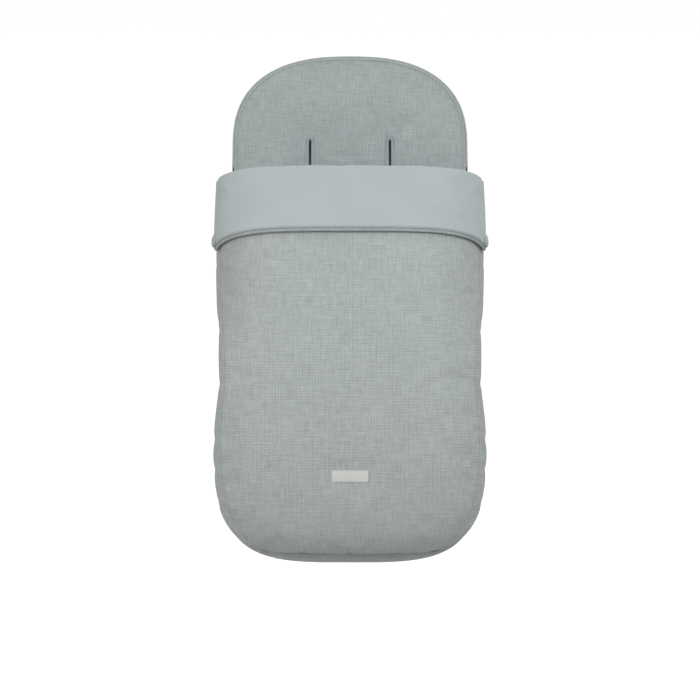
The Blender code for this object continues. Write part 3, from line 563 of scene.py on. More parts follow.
def slab(name, front, back, uv, looks, body, steps=3, bulge=1.0, holes=()):
    """Closed piece between two grids, with a rounded edge and square holes of (rows, columns)."""
    rows, columns = front.shape[:2]
    count = rows * columns
    front, back, uv = front.reshape(-1, 3), back.reshape(-1, 3), uv.reshape(-1, 2)
    open_cells = np.zeros((rows - 1, columns - 1), dtype=bool)
    routes = [(route_round(columns, 0, rows - 1, 0, columns - 1), steps, bulge)]
    for (i0, i1), (j0, j1) in holes:
        open_cells[i0:i1, j0:j1] = True
        routes.append((route_round(columns, i0, i1, j0, j1)[::-1], 1, 0.0))
    cells = quads(rows, columns)[~open_cells.ravel()]
    faces = cells.tolist() + (cells[:, ::-1] + count).tolist()
    slots = [0] * len(cells) + [1] * len(cells)
    points, flats = [front, back], [uv, uv]
    size = 2 * count
    for route, steps, bulge in routes:
        rings, ring_flats = rim_rings(front, back, uv, route, steps, bulge)
        lines = [route] + [size + k * len(route) + np.arange(len(route)) for k in range(len(rings))]
        lines.append(route + count)
        for low, high in zip(lines, lines[1:]):
            faces += np.stack((np.roll(low, -1), low, high, np.roll(high, -1)), axis=-1).tolist()
            slots += [min(2, len(looks) - 1)] * len(route)
        points += rings
        flats += ring_flats
        size += len(rings) * len(route)
    edges = np.concatenate([route for route, steps, bulge in routes])
    held = np.concatenate((edges, edges + count, np.arange(2 * count, size)))
    if len(looks) == 1:
        slots = [0] * len(faces)
    thing = piece(name, np.concatenate(points), faces, looks, body, np.concatenate(flats), slots)
    return thing, held


def drop_loose(thing):
    """Takes out the points that the holes of a piece left without faces."""
    shape = bmesh.new()
    shape.from_mesh(thing.data)
    bmesh.ops.delete(shape, geom=[point for point in shape.verts if not point.link_faces], context="VERTS")
    shape.to_mesh(thing.data)
    shape.free()


def tube(name, line, radius, looks, body, sides, flatten=1.0, up=None):
    """Round cord along a line, with rounded ends; flatten squeezes it towards its up direction."""
    line = np.asarray(line, dtype=float)
    run = np.roll(line, -1, axis=0) - np.roll(line, 1, axis=0)
    run[0], run[-1] = line[1] - line[0], line[-1] - line[-2]
    run = unit(run)
    if up is None:
        side = unit(np.cross(run[0], (0.3, 0.5, 0.81)))
        normals = []
        for direction in run:
            side = unit(side - direction * np.dot(side, direction))
            normals.append(side)
        normals = np.array(normals)
    else:
        normals = unit(up - run * np.sum(run * up, axis=1, keepdims=True))
    other = np.cross(run, normals)
    radius = np.broadcast_to(radius, len(line))
    lengths = distances(line)
    caps = np.array((0.15, 0.6, 0.9))
    depths = np.sqrt(1.0 - caps ** 2)[:, None]
    ends = radius[0], radius[-1]
    head = line[0] - run[0] * ends[0] * depths
    tail = line[-1] + run[-1] * ends[1] * depths[::-1]
    line = np.concatenate((head, line, tail))
    normals, other = [np.pad(side, ((3, 3), (0, 0)), mode="edge") for side in (normals, other)]
    radius = np.concatenate((ends[0] * caps, radius, ends[1] * caps[::-1]))
    lengths = np.pad(lengths, 3, mode="edge")
    turn = 2 * math.pi * np.arange(sides) / sides
    ring = normals[:, None] * (np.sin(turn) * flatten)[None, :, None]
    ring = ring + other[:, None] * np.cos(turn)[None, :, None]
    points = line[:, None] + ring * radius[:, None, None]
    uv = paired(lengths[:, None], radius[:, None] * turn[None])
    return piece(name, points, rod_faces(len(line), sides), looks, body, uv)


def lathe(name, profile, matrix, looks, body, sides, ripple=None):
    """Round piece from (radius, height) points, from its top centre to its bottom centre."""
    turn = 2 * math.pi * np.arange(sides) / sides
    rings = []
    for radius, height in profile[1:-1]:
        reach = radius if ripple is None else radius + ripple(turn, height)
        rings.append(np.stack((reach * np.cos(turn), reach * np.sin(turn), np.full(sides, height)), -1))
    points = np.concatenate(rings + [[(0.0, 0.0, profile[0][1]), (0.0, 0.0, profile[-1][1])]])
    count = len(rings) * sides
    faces = quads(len(rings), sides, loop=True).tolist()
    faces += [(count, j, (j + 1) % sides) for j in range(sides)]
    last = count - sides
    faces += [(count + 1, last + (j + 1) % sides, last + j) for j in range(sides)]
    uv = points[:, :2] * (1.0 + 4.0 * (profile[0][1] - points[:, 2:]))
    return piece(name, placed(points, matrix), faces, looks, body, uv)


def placed(points, matrix):
    """Points moved by a matrix."""
    turn = np.array(matrix.to_3x3())
    return np.asarray(points) @ turn.T + np.array(matrix.translation)


def frame_at(place, x, y, z):
    """Matrix at a place with these axes."""
    matrix = Matrix((Vector(x), Vector(y), Vector(z))).transposed().to_4x4()
    matrix.translation = Vector(place)
    return matrix


def copies(name, shape, faces, frames, looks, body):
    """One piece made of the same small shape at many frames."""
    shape = np.asarray(shape, dtype=float)
    points = [placed(shape, matrix) for matrix in frames]
    all_faces = [[k * len(shape) + v for v in face] for k in range(len(frames)) for face in faces]
    return piece(name, np.concatenate(points), all_faces, looks, body)


# Pitch, length and width of the stitches in each place
SLOT_STITCH = 0.0034, 0.0026, 0.0006
SEAM_STITCH = 0.0036, 0.0027, 0.0006
GUSSET_STITCH = 0.0038, 0.0028, 0.0006
LABEL_STITCH = 0.0026, 0.0020, 0.0005
CUFF_STITCH = 0.0038, 0.0029, 0.0007
STITCH_LIFT = 0.0002

STITCH = [(-0.5, 0, 0), (-0.36, 0.5, 0), (-0.36, 0, 0.6), (-0.36, -0.5, 0), (-0.36, 0, -0.6)]
STITCH += [(-x, y, z) for x, y, z in STITCH[1:]] + [(0.5, 0, 0)]
STITCH_FACES = [(0, 1, 2), (0, 2, 3), (0, 3, 4), (0, 4, 1), (9, 6, 5), (9, 7, 6), (9, 8, 7), (9, 5, 8)]
STITCH_FACES += [(1, 5, 6, 2), (2, 6, 7, 3), (3, 7, 8, 4), (4, 8, 5, 1)]


def stitches(name, line, ups, look, body, size):
    """Row of thread stitches along a line, sunk a little into the cloth."""
    pitch, length, width = size
    run = distances(line)
    near = 0.001

    def at(values, place):
        return np.array([np.interp(place, run, values[:, k]) for k in range(3)])

    frames = []
    for place in np.arange(pitch / 2, run[-1], pitch):
        x = unit(at(line, place + near) - at(line, place - near))
        y = unit(np.cross(unit(at(ups, place)), x))
        frames.append(frame_at(at(line, place), x, y, np.cross(x, y)))
    shape = np.array(STITCH) * (length, width, width)
    return copies(name, shape, STITCH_FACES, frames, [look], body)


def coordinates(mesh):
    values = np.empty(3 * len(mesh.vertices))
    mesh.vertices.foreach_get("co", values)
    return values.reshape(-1, 3)


def settle(thing):
    """Applies the modifiers of a piece to its mesh."""
    graph = bpy.context.evaluated_depsgraph_get()
    mesh = bpy.data.meshes.new_from_object(thing.evaluated_get(graph))
    thing.modifiers.clear()
    thing.data = mesh


def refine(thing):
    """Divides every face of a piece into smaller ones and rounds it."""
    change = thing.modifiers.new("finer", "SUBSURF")
    change.levels = 1
    change.render_levels = 1
    settle(thing)


def blurred(values, shape, rounds):
    """Values of a grid averaged over their neighbours, again and again."""
    grid = values.reshape(*shape, -1)
    for step in range(rounds):
        padded = np.pad(grid, ((1, 1), (1, 1), (0, 0)), mode="edge")
        grid = (2 * grid + padded[:-2, 1:-1] + padded[2:, 1:-1] + padded[1:-1, :-2] + padded[1:-1, 2:]) / 6
    return grid.reshape(len(values), -1)


STUFFING = {
    "quality": 4, "use_pressure": True, "uniform_pressure_force": 4.0, "vertex_group_mass": "held",
    "bending_stiffness": 1.5, "tension_stiffness": 20, "compression_stiffness": 20,
}
STUFFING_FRAMES = 20
BLUR_ROUNDS = 24


def stuff(thing, held, shape, swells, creases, growth=0.012):
    """Swells a closed piece as stuffed cloth; swells and creases, each for its front and its back
    grid, cap its slow and its sharp moves."""
    start = coordinates(thing.data)
    group = thing.vertex_groups.new(name="held")
    group.add([int(index) for index in held], 1.0, "REPLACE")
    cloth = thing.modifiers.new("stuffing", "CLOTH")
    for key, value in STUFFING.items():
        setattr(cloth.settings, key, value)
    cloth.settings.effector_weights.gravity = 0.0
    cloth.settings.shrink_min = -growth
    cloth.point_cache.frame_start = 1
    cloth.point_cache.frame_end = STUFFING_FRAMES
    for number in range(1, STUFFING_FRAMES + 1):
        bpy.context.scene.frame_set(number)
    evaluated = thing.evaluated_get(bpy.context.evaluated_depsgraph_get())
    move = coordinates(evaluated.to_mesh()) - start
    evaluated.to_mesh_clear()
    thing.modifiers.clear()
    thing.vertex_groups.clear()
    bpy.context.scene.frame_set(1)
    count = shape[0] * shape[1]
    for side in range(2):
        part = slice(side * count, (side + 1) * count)
        slow = blurred(move[part], shape, BLUR_ROUNDS)
        move[part] = capped(slow, swells[side]) + capped(move[part] - slow, creases[side])
    move[2 * count:] = 0.0
    move[held] = 0.0
    thing.data.vertices.foreach_set("co", (start + move).ravel())
    thing.data.update()


def capped(move, reach):
    """Moves kept shorter than a reach, smoothly."""
    reach = np.ravel(reach)
    length = np.linalg.norm(move, axis=1)
    share = np.where(length > 1e-9, reach * np.tanh(length / np.maximum(reach, 1e-6)), 0.0)
    return move * (share / np.maximum(length, 1e-9))[:, None]


# Mat

def slot_places():
    """Name, x, distance along the mat, length and turn of every harness slot."""
    x, below, length = SHOULDER_SLOT
    waist_x, above, waist_length = WAIST_SLOT
    ahead, crotch_length = CROTCH_SLOT
    for side, sign in SIDES:
        yield f"shoulder_slot_{side}", sign * x, MAT_LENGTH - below - length / 2, length, 0.0
        yield f"waist_slot_{side}", sign * waist_x, ENDS[4] + above, waist_length, 0.0
    yield "crotch_slot", 0.0, SEAT_MIDDLE - ahead, crotch_length, math.pi / 2


SLOT_CUT = 0.003
SLOT_DIP = 0.0036


def slot_boxes():
    """Half sizes (x, s) of the square holes in the mat, with their middles."""
    for name, x, s, length, turn in slot_places():
        half = (SLOT_OPENING / 2 + SLOT_CUT, length / 2 + SLOT_CUT)
        yield (x, s), half if turn == 0.0 else half[::-1]


def slot_distance(x, s):
    """Distance from places on the mat to the nearest slot's hole."""
    nearest = np.full(np.broadcast(x, s).shape, 1.0)
    for (x0, s0), (half_x, half_s) in slot_boxes():
        beside, beyond = np.abs(x - x0) - half_x, np.abs(s - s0) - half_s
        nearest = np.minimum(nearest, np.hypot(np.maximum(beside, 0.0), np.maximum(beyond, 0.0)))
    return nearest


def lines_through(low, high, step, marks):
    """Even values from low to high that also pass through every mark."""
    ends = sorted([low, high] + [mark for mark in marks if low < mark < high])
    values = [low]
    for a, b in zip(ends, ends[1:]):
        values += list(np.linspace(a, b, max(int(round((b - a) / step)), 1) + 1)[1:])
    return np.array(values)


MAT_CELL = 0.0064
MAT_END = 0.028
MAT_SIDE = 0.958
DIP_REACH = 0.016
GROOVE, GROOVE_REACH = 0.0003, 0.0026
EDGE_ROLL, EDGE_ROLL_REACH = 0.0022, 0.006
MAT_PUFF, MAT_CREASE = 0.0045, 0.0024
STILL = 0.0002


def mat_surface():
    """Grid of the mat: x, s, with rows and columns that pass along the slots' edges."""
    x_marks, s_marks = [
        sorted({round(middle[k] + sign * half[k], 6) for middle, half in slot_boxes() for sign in (-1, 1)})
        for k in range(2)]
    ends = MAT_END * (1.0 - np.cos(np.linspace(0.06, 1.0, 8) * math.pi / 2))
    rows = lines_through(MAT_END, MAT_LENGTH - MAT_END, MAT_CELL, s_marks)
    rows = np.concatenate((ends[:-1], rows, MAT_LENGTH - ends[::-1][1:]))
    edge = MAT_HALF_WIDTH * np.array((0.972, 0.99, 1.0))
    side = MAT_SIDE * MAT_HALF_WIDTH
    columns = lines_through(-side, side, MAT_CELL, x_marks)
    columns = np.concatenate((-edge[::-1], columns, edge)) / MAT_HALF_WIDTH
    s = np.repeat(rows[:, None], len(columns), axis=1)
    return columns[None, :] * half_width(rows)[:, None], s, rows, columns


def build_mat():
    """Padded mat with its slots, and the seam round its arch."""
    x, s, rows, columns = mat_surface()
    inset, from_slot = edge_distance(x, s), slot_distance(x, s)
    dip = SLOT_DIP * np.exp(-(from_slot / DIP_REACH) ** 2)
    groove = GROOVE * np.exp(-((inset - SEAM_INSET) / GROOVE_REACH) ** 2) * (s > STATIONS[-1][0])
    roll = EDGE_ROLL * (1.0 - np.clip(inset / EDGE_ROLL_REACH, 0.0, 1.0)) ** 2
    front = mat_point(x, s, mat_top(x, s) - dip - groove - roll)
    back = mat_point(x, s, roll)
    holes = []
    for middle, half in slot_boxes():
        holes.append([[int(np.argmin(np.abs(lines - middle[k] - sign * half[k]))) for sign in (-1, 1)]
                      for k, lines in ((1, rows), (0, columns * MAT_HALF_WIDTH))])
    # The mat's face takes the cover's cloth with painted shade.
    looks = (MAT_WOVEN_SHADED, SMOOTH, BINDING)
    thing, held = slab("mat_pad", front, back, paired(x, s), looks, "mat", 3, 0.3, holes)
    seam = np.flatnonzero(np.abs(inset - SEAM_INSET) < 0.0022)
    held = np.concatenate((held, seam, seam + x.size))
    swell = MAT_PUFF * ease((inset - 0.004) / 0.05) * ease(from_slot / 0.05)
    crease = MAT_CREASE * ease((inset - 0.008) / 0.03) * ease((from_slot - 0.006) / 0.02)
    stuff(thing, held, x.shape, (swell, STILL), (crease, STILL))
    drop_loose(thing)
    refine(thing)
    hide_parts("mat_backing", "mat_wadding_leg", "mat_wadding_seat", "mat_wadding_back", "mat_face")
    for place in slot_places():
        build_slot(*place)
    build_seam()


SLOT_SEWN = 0.0098

# Lip of a slot: distance out from the opening, and height over the cloth
SLOT_LIP = (
    (-0.0006, -0.0006), (-0.0007, 0.0012), (0.0008, 0.0026), (0.0032, 0.0032), (0.0056, 0.0027),
    (0.0074, 0.0014), (0.0087, -0.0004), (0.0078, -0.0024), (0.0040, -0.0032),
)


def stadium_route(length, width, steps=18):
    """Points and outward directions round a slot, long axis along Y."""
    radius, straight = width / 2, (length - width) / 2
    points, outs = [], []
    for sign, start in ((1.0, 0.0), (-1.0, math.pi)):
        for k in range(steps + 1):
            angle = start + math.pi * k / steps
            out = np.array((math.cos(angle), math.sin(angle)))
            points.append(np.array((0.0, sign * straight)) + out * radius)
            outs.append(out)
        low, high = points[-1], np.array((-radius * sign, -sign * straight))
        for k in range(1, 10):
            points.append(low + (high - low) * k / 10)
            outs.append(outs[-1])
    return np.array(points), np.array(outs)


def build_slot(name, x0, s0, length, turn):
    """Bound slot: two soft lips round the opening, stitched down at their outer edge."""
    top = float(mat_top(x0, s0)) - SLOT_DIP
    low_side = [(0.0, -0.0006), (0.0, top * 0.5)]
    low_back = [(0.0022, top * 0.5), (0.0028, 0.0010), (0.0062, 0.0004), (0.0066, -0.0004), (0.0040, -0.0008)]
    section = low_side + [(reach, top + height) for reach, height in SLOT_LIP] + low_back
    route, outs = stadium_route(length, SLOT_OPENING)
    long_axis = 0 if turn else 1
    if turn:
        route, outs = route[:, ::-1] * (1, -1), outs[:, ::-1] * (1, -1)
    points = []
    for number, (place, out) in enumerate(zip(route, outs)):
        wobble = 1.0 + 0.05 * math.sin(number * 0.9) + 0.03 * math.sin(number * 2.3 + x0 * 90)
        from_end = length / 2 - abs(place[long_axis])
        wobble = wobble * (0.55 + 0.55 * float(ease(from_end / 0.032)))
        for reach, height in section:
            flat = place + out * (reach * wobble if reach > 0.001 else reach)
            points.append((x0 + flat[0], s0 + flat[1], height))
    x, s, height = np.array(points).T
    faces = ring_faces(len(route), len(section))
    thing = piece(f"{name}_welt", mat_point(x, s, height), faces, [WELT], "mat", paired(x + height, s))
    refine(thing)
    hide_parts(name)
    sewn = route + outs * SLOT_SEWN
    sewn = np.concatenate((sewn, sewn[:1]))
    line = mat_point(x0 + sewn[:, 0], s0 + sewn[:, 1], top + 0.0003)
    ups = np.repeat(mat_axes(s0)[1][None], len(line), axis=0)
    row = stitches(f"{name}_stitching", line, ups, THREAD_SHADE_DARK, "mat", SLOT_STITCH)


MAT_CORD = 0.0012


def arch_route(inset, start, arch_steps=70, side_steps=40):
    """Places (x, s) round the mat's arch at an inset, from the left side over to the right."""
    sides = np.linspace(start, MAT_LENGTH - ARCH_HEIGHT, side_steps + 1)[:-1]
    right = [(float(half_width(s, inset)), s) for s in sides]
    for k in range(arch_steps):
        angle = 0.5 * math.pi * (k / arch_steps)
        x = (MAT_HALF_WIDTH - inset) * math.cos(angle) ** (2 / ARCH_POWER)
        s = MAT_LENGTH - ARCH_HEIGHT + (ARCH_HEIGHT - inset) * math.sin(angle) ** (2 / ARCH_POWER)
        right.append((x, s))
    left = [(-x, s) for x, s in right]
    return np.array(left + [(0.0, MAT_LENGTH - inset)] + right[::-1])


def build_seam():
    """Piped seam just inside the arch of the mat, with a row of stitches beside it."""
    x, s = arch_route(SEAM_INSET, STATIONS[-1][0] + 0.004).T
    thing = tube("mat_seam_cord", mat_point(x, s, mat_top(x, s) - 0.0001), MAT_CORD, [MAT_WOVEN_SHADED], "mat", 10)
    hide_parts("mat_piping")
    x, s = arch_route(SEAM_INSET + 0.0045, STATIONS[-1][0] + 0.006).T
    ups = np.array([mat_axes(place)[1] for place in s])
    line = mat_point(x, s, mat_top(x, s) + STITCH_LIFT)
    row = stitches("mat_seam_stitching", line, ups, CLOTH_THREAD, "mat", SEAM_STITCH)


# Hood

HOOD_CLOTH = 0.0016
HOOD_GATHER, HOOD_SLACK = 0.0011, 0.0016
HEM_RADIUS, HEM_PUFF, HEM_PUFFS = 0.0021, 0.00035, 58


def hood_points(shares, place, inner):
    """Skin of the hood at shares from its left edge to its right one, at a distance from its top."""
    end = MAT_LENGTH + HOOD_PROUD - inner
    s = end - place
    width = float(half_width(min(s, end - 0.002), inner - HOOD_PROUD))
    depth = (HOOD_DEPTH - inner) * float(end_share(place, HOOD_TOP_ROUND, 2.0))
    angle = math.pi * shares
    x = -width * np.sign(np.cos(angle)) * np.abs(np.cos(angle)) ** (2 / HOOD_POWER)
    behind = depth * np.abs(np.sin(angle)) ** (2 / HOOD_POWER)
    return mat_point(x, s, -0.0003 - behind)


def build_hood():
    """Hood behind the mat's top with its elastic hem, and the strip that joins it to the mat."""
    half = 0.5 * (1.0 - np.cos(np.linspace(0.0, math.pi, 91)))
    shares = 0.55 * half + 0.45 * np.linspace(0.0, 1.0, 91)
    reach = HOOD_DROP + HOOD_PROUD
    rounded = HOOD_TOP_ROUND * (1.0 - np.sin(np.linspace(0.0, 1.0, 26) * math.pi / 2))
    places = np.concatenate((np.linspace(reach, HOOD_TOP_ROUND, 46)[:-1], rounded))
    middle = np.linspace(-1.0, 1.0, len(shares))
    free = np.sin(math.pi * shares)[None, :] ** 0.5
    gather = np.exp(-np.abs(reach - places) / 0.022)[:, None]
    ripple = np.sin(middle * 74.0) + 0.6 * np.sin(middle * 121.0 + 1.1)
    slack = np.sin(middle * 9.0 + places[:, None] * 30.0) * np.sin((reach - places[:, None]) * 16.0)
    lift = (gather * ripple[None] * HOOD_GATHER + slack * HOOD_SLACK) * free
    lift = lift * ease(places[:, None] / 0.05)
    outward = np.array([mat_axes(MAT_LENGTH - place)[1] for place in places])[:, None]
    skins = [np.array([hood_points(shares, place, depth) for place in places]) for depth in (0.0, HOOD_CLOTH)]
    outer, inner = [skin - outward * lift[..., None] for skin in skins]
    uv = paired(distances(outer[0])[None, :], -places[:, None])
    thing, held = slab("hood_shell", outer, inner, uv, (SMOOTH, SMOOTH, HEM), "mat", 1)
    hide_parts("hood")
    fine = np.linspace(0.0, 1.0, 240)
    hem = hood_points(fine, reach + 0.0033, 0.0008)
    puffs = HEM_RADIUS + HEM_PUFF * np.sin(fine * 2 * math.pi * HEM_PUFFS)
    cord = tube("hood_elastic_hem", hem, puffs, [HEM], "mat", 12)
    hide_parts("hood_hem")
    build_band()


BAND_SECTION = (
    (0.0004, 0.0004), (0.0030, 0.0002), (0.0039, 0.0016), (0.0039, 0.0038), (0.0032, 0.0060),
    (0.0018, 0.0076), (-0.0004, 0.0082), (0.0004, 0.0042),
)


def build_band():
    """Strip of cloth round the mat's edge that joins the hood to the mat's front."""
    route = arch_route(0.0, MAT_LENGTH - HOOD_DROP, 90, 10)[1:-1]
    run = np.gradient(route, axis=0)
    out = unit(np.stack((-run[:, 1], run[:, 0]), axis=-1))
    reach, height = np.array(BAND_SECTION).T
    x, s = [route[:, k, None] + out[:, k, None] * reach for k in range(2)]
    uv = paired(distances(route)[:, None], np.linspace(0.0, 0.028, len(reach)))
    faces = rod_faces(len(route), len(reach))
    # Its cloth is painted lighter to cancel the shade on its sideways face.
    thing = piece("hood_side_strip", mat_point(x, s, height), faces, [BAND_LIGHTENED], "mat", uv)
    refine(thing)
    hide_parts("hood_band")


# Cover

GUSSET = 0.715


def cover_rows(low, high, step):
    """Stations about one step apart, measured on the front line and on the rim."""
    fine = np.linspace(low, high, int(60 * (high - low)) + 2)
    front = np.array([cover_point([0.0], v)[0] for v in fine])
    rim = np.array([through(v)[0] for v in fine])
    paces = np.maximum(np.linalg.norm(np.diff(front, axis=0), axis=1), np.abs(np.diff(rim)))
    run = np.concatenate(([0.0], np.cumsum(paces)))
    count = max(int(round(run[-1] / step)), 2)
    return np.interp(np.linspace(0.0, run[-1], count + 1), run, fine)


def cover_columns(step, limit=1.0, marks=(GUSSET,)):
    """Places across the cover about one step apart, from side to side."""
    fine = np.linspace(0.0, limit, 400)
    run = distances(cover_point(fine, 8.0))
    right = lines_through(0.0, run[-1], step, [np.interp(mark, fine, run) for mark in marks if mark < limit])
    right = np.interp(right, run, fine)
    return np.concatenate((-right[:0:-1], right))


def lengths_of(points):
    """Cloth coordinates of a cover grid: length across from the middle, and up the front."""
    middle = points.shape[1] // 2
    across = np.array([distances(row) for row in points])
    across = across - across[:, middle:middle + 1]
    return paired(across, distances(points[:, middle])[:, None])


def cover_line(route, lift):
    """Places over the cover along a route of (across, station), and the directions out of it."""
    normals = np.array([cover_normal([across], station)[0] for across, station in route])
    line = np.array([cover_point([across], station)[0] for across, station in route])
    return line + normals * lift, normals


def under_cuff(acrosses, stations):
    """1 where the cuff lies over the cover, 0 well away from it."""
    over = ease((CUFF_WING + 0.04 - np.abs(acrosses)) / 0.04)
    up = ease((stations - CUFF_LOW + 0.30) / 0.25)
    return up[:, None] * np.maximum(over[None, :], 0.35)


TOP = MOUTH - 0.0095 / front_pace(MOUTH - PACE_REACH)
LABEL_STATION = 4.445
LABEL_HALF = 0.0325, 0.0105
LABEL_SWELL, LABEL_WAVE, LABEL_FOLD, LABEL_THICK = 0.0006, 0.0002, 0.0004, 0.0006


def label_distance(points, stations):
    """Distance of places on the cover from the label's edge."""
    up = (stations - LABEL_STATION) * front_pace(LABEL_STATION)
    over = np.maximum(np.abs(points[..., 0]) - LABEL_HALF[0], 0.0)
    return np.hypot(over, np.maximum(np.abs(up)[:, None] - LABEL_HALF[1], 0.0))


COVER_CELL = 0.0066
GUSSET_GROOVE, GUSSET_REACH = 0.0009, 0.0042
COVER_PUFF, COVER_CREASE, LINING_CREASE = 0.0042, 0.0026, 0.0018
TOE_CORD, TOE_CORD_OUT, TOE_CORD_LIFT = 0.0019, 0.0036, 0.0016
TOE_CORD_TOP = 3.9
CORD_CELL = 0.004


def build_cover():
    """Padded cover with the seams of its side walls, its corded toe seam and its label."""
    rows = cover_rows(0.0, TOP, COVER_CELL)
    columns = cover_columns(COVER_CELL)
    points, normals = cover_grid(columns, rows)
    uv = lengths_of(points)
    across = np.abs(columns)[None, :]
    gusset = np.argmin(np.abs(columns - GUSSET))
    span = np.abs(uv[..., 0] - uv[:, gusset:gusset + 1, 0] * np.sign(columns)[None, :])
    hidden = under_cuff(columns, rows)
    groove = GUSSET_GROOVE * np.exp(-(span / GUSSET_REACH) ** 2) * (1.0 - 0.5 * hidden)
    front = points - normals * groove[..., None]
    back = points - normals * COVER_THICK
    thing, held = slab("cover_shell", front, back, uv, (WOVEN, SMOOTH, BINDING), None, 3, 0.3)
    seam = np.flatnonzero(span < 0.0015)
    held = np.concatenate((held, seam, seam + span.size))
    zipped = ease((1.0 - across) / 0.05)
    toe = ease(rows / 1.2)[:, None]
    below_top = ease((TOP - rows) / 0.3)[:, None]
    room = (1.0 - hidden) * zipped * toe * ease(label_distance(points, rows) / 0.035)
    swell = COVER_PUFF * room * ease(span / 0.035) + 0.0001
    crease = COVER_CREASE * room * ease(span / 0.006) + 0.0001
    back_crease = LINING_CREASE * zipped * toe * below_top + 0.0001
    stuff(thing, held, span.shape, (swell, STILL), (crease, back_crease))
    refine(thing)
    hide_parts("cover_face", "cover_wadding", "cover_lining")
    blend_toe(thing)
    for side, sign in SIDES:
        build_gusset(side, sign)
    build_toe_cord()
    build_label()


def blend_toe(thing):
    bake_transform(thing)


def build_gusset(side, sign):
    """Row of stitches beside the seam between the cover's front and its side wall."""
    stations = np.linspace(0.5, CUFF_LOW - 0.05, 220)
    route = [(sign * (GUSSET - 0.010), station) for station in stations]
    line, ups = cover_line(route, STITCH_LIFT)
    row = stitches(f"gusset_stitching_{side}", line, ups, CLOTH_THREAD, None, GUSSET_STITCH)
    blend_toe(row)


def build_toe_cord():
    """Corded seam where the cover's toe meets the mat."""
    stations = cover_rows(0.0, TOE_CORD_TOP, CORD_CELL)[1:]
    route = [(-1.0, station) for station in stations[::-1]]
    route += [(value, 0.0) for value in cover_columns(CORD_CELL)]
    route += [(1.0, station) for station in stations]
    lifts = np.array([mat_axes(through(station)[0])[1] * TOE_CORD_LIFT for across, station in route])
    line = cover_line(route, TOE_CORD_OUT)[0] + lifts
    for step in range(3):
        line[1:-1] = (line[:-2] + 2 * line[1:-1] + line[2:]) / 4
    cord = tube("toe_cord", line, TOE_CORD, [BINDING], None, 10)
    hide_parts("foot_piping")
    blend_toe(cord)


LABEL_GRID = 17, 41
LABEL_SEWN = 0.955, 0.87
LABEL_EDGE_POINTS = 30


def build_label():
    """Blank woven label with folded ends, stitched down all round."""
    high, wide = LABEL_GRID
    station, half = LABEL_STATION, LABEL_HALF[1] / front_pace(LABEL_STATION)
    fine = np.linspace(0.0, COVER_CORNER, 300)
    side = float(np.interp(LABEL_HALF[0], cover_point(fine, station)[:, 0], fine))
    columns, rows = np.linspace(-side, side, wide), np.linspace(station - half, station + half, high)
    points, normals = cover_grid(columns, rows)
    lift = 0.0004 + LABEL_SWELL * np.sin(np.linspace(0.0, math.pi, high))[:, None] ** 0.5
    lift = lift + LABEL_WAVE * np.sin(np.linspace(0, 9, wide))[None, :]
    fold = LABEL_FOLD * (np.abs(np.linspace(-1.0, 1.0, wide)) > 0.91)[None, :]
    front = points + normals * (lift + LABEL_THICK + fold)[..., None]
    back = points + normals * (lift - 0.0004)[..., None]
    thing, held = slab("blank_label", front, back, lengths_of(points), (LABEL, LABEL, LABEL), "cover", 2)
    refine(thing)
    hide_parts("label")
    corners_at = np.array(((-1, -1), (1, -1), (1, 1), (-1, 1), (-1, -1)))
    shares = np.arange(LABEL_EDGE_POINTS)[:, None] / LABEL_EDGE_POINTS
    box = np.concatenate([a + (b - a) * shares for a, b in zip(corners_at, corners_at[1:])])
    route = box * (LABEL_SEWN[0] * side, LABEL_SEWN[1] * half) + (0.0, station)
    heights = np.interp(route[:, 1], rows, lift[:, wide // 2] + LABEL_THICK) + STITCH_LIFT
    line, ups = cover_line(route, heights[:, None])
    row = stitches("label_stitching", line, ups, PALE_THREAD, "cover", LABEL_STITCH)


# Cuff

CREST = cover_point([0.0], MOUTH)[0]
CREST_NORMAL = cover_normal([0.0], MOUTH)[0]
CUFF_CELL = 0.0058
CUFF_FRONT = CUFF_STANDOFF + CUFF_THICK
CUFF_PUFF, CUFF_CREASE = 0.0022, 0.0016
CUFF_CORD = 0.0031
CUFF_SEAM, CUFF_SEAM_PLACE, CUFF_SEAM_REACH = 0.0026, 0.0015, 0.0007
CUFF_EDGE_ROWS = np.array((0.0, 0.0007, 0.0012, 0.0017, 0.0022, 0.0031, 0.0046, 0.0070))
ROLL_CLOTH = 0.0009


def build_cuff():
    """Turned-down top of the cover, with the roll over the mouth and its bound edge."""
    pace = front_pace(CUFF_LOW + 0.1)
    strip = CUFF_LOW + CUFF_EDGE_ROWS / pace
    rows = np.concatenate((strip, cover_rows(CUFF_LOW + 0.0112 / pace, TOP, CUFF_CELL)))
    columns = cover_columns(CUFF_CELL, CUFF_WING)
    points, normals = cover_grid(columns, rows)
    above = (rows - CUFF_LOW) * pace
    seam = CUFF_SEAM * np.exp(-((above - CUFF_SEAM_PLACE) / CUFF_SEAM_REACH) ** 2)
    front = points + normals * (CUFF_FRONT - seam[:, None, None])
    back = points + normals * CUFF_STANDOFF
    looks = (SMOOTH, WOVEN, BINDING, SEAM_SHADE)
    thing, held = slab("cuff_pad", front, back, lengths_of(points), looks, "cuff")
    cells = len(columns) - 1
    # The first row of faces takes the binding; the next two, over the seam groove, take the near-black
    # painted seam shade.
    for face in thing.data.polygons[:3 * cells]:
        face.material_index = 2 if face.index < cells else 3
    from_wing = ease((CUFF_WING - np.abs(columns)) / 0.05)
    from_edge = np.minimum(ease((above - 0.004) / 0.04)[:, None], from_wing)
    swells, creases = (CUFF_PUFF * from_edge, 0.0), (CUFF_CREASE * from_edge, 0.0)
    stuff(thing, held, from_edge.shape, swells, creases, growth=0.010)
    refine(thing)
    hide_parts("cuff_face", "cuff_wadding", "cuff_lining")
    build_roll()
    build_cuff_edge()


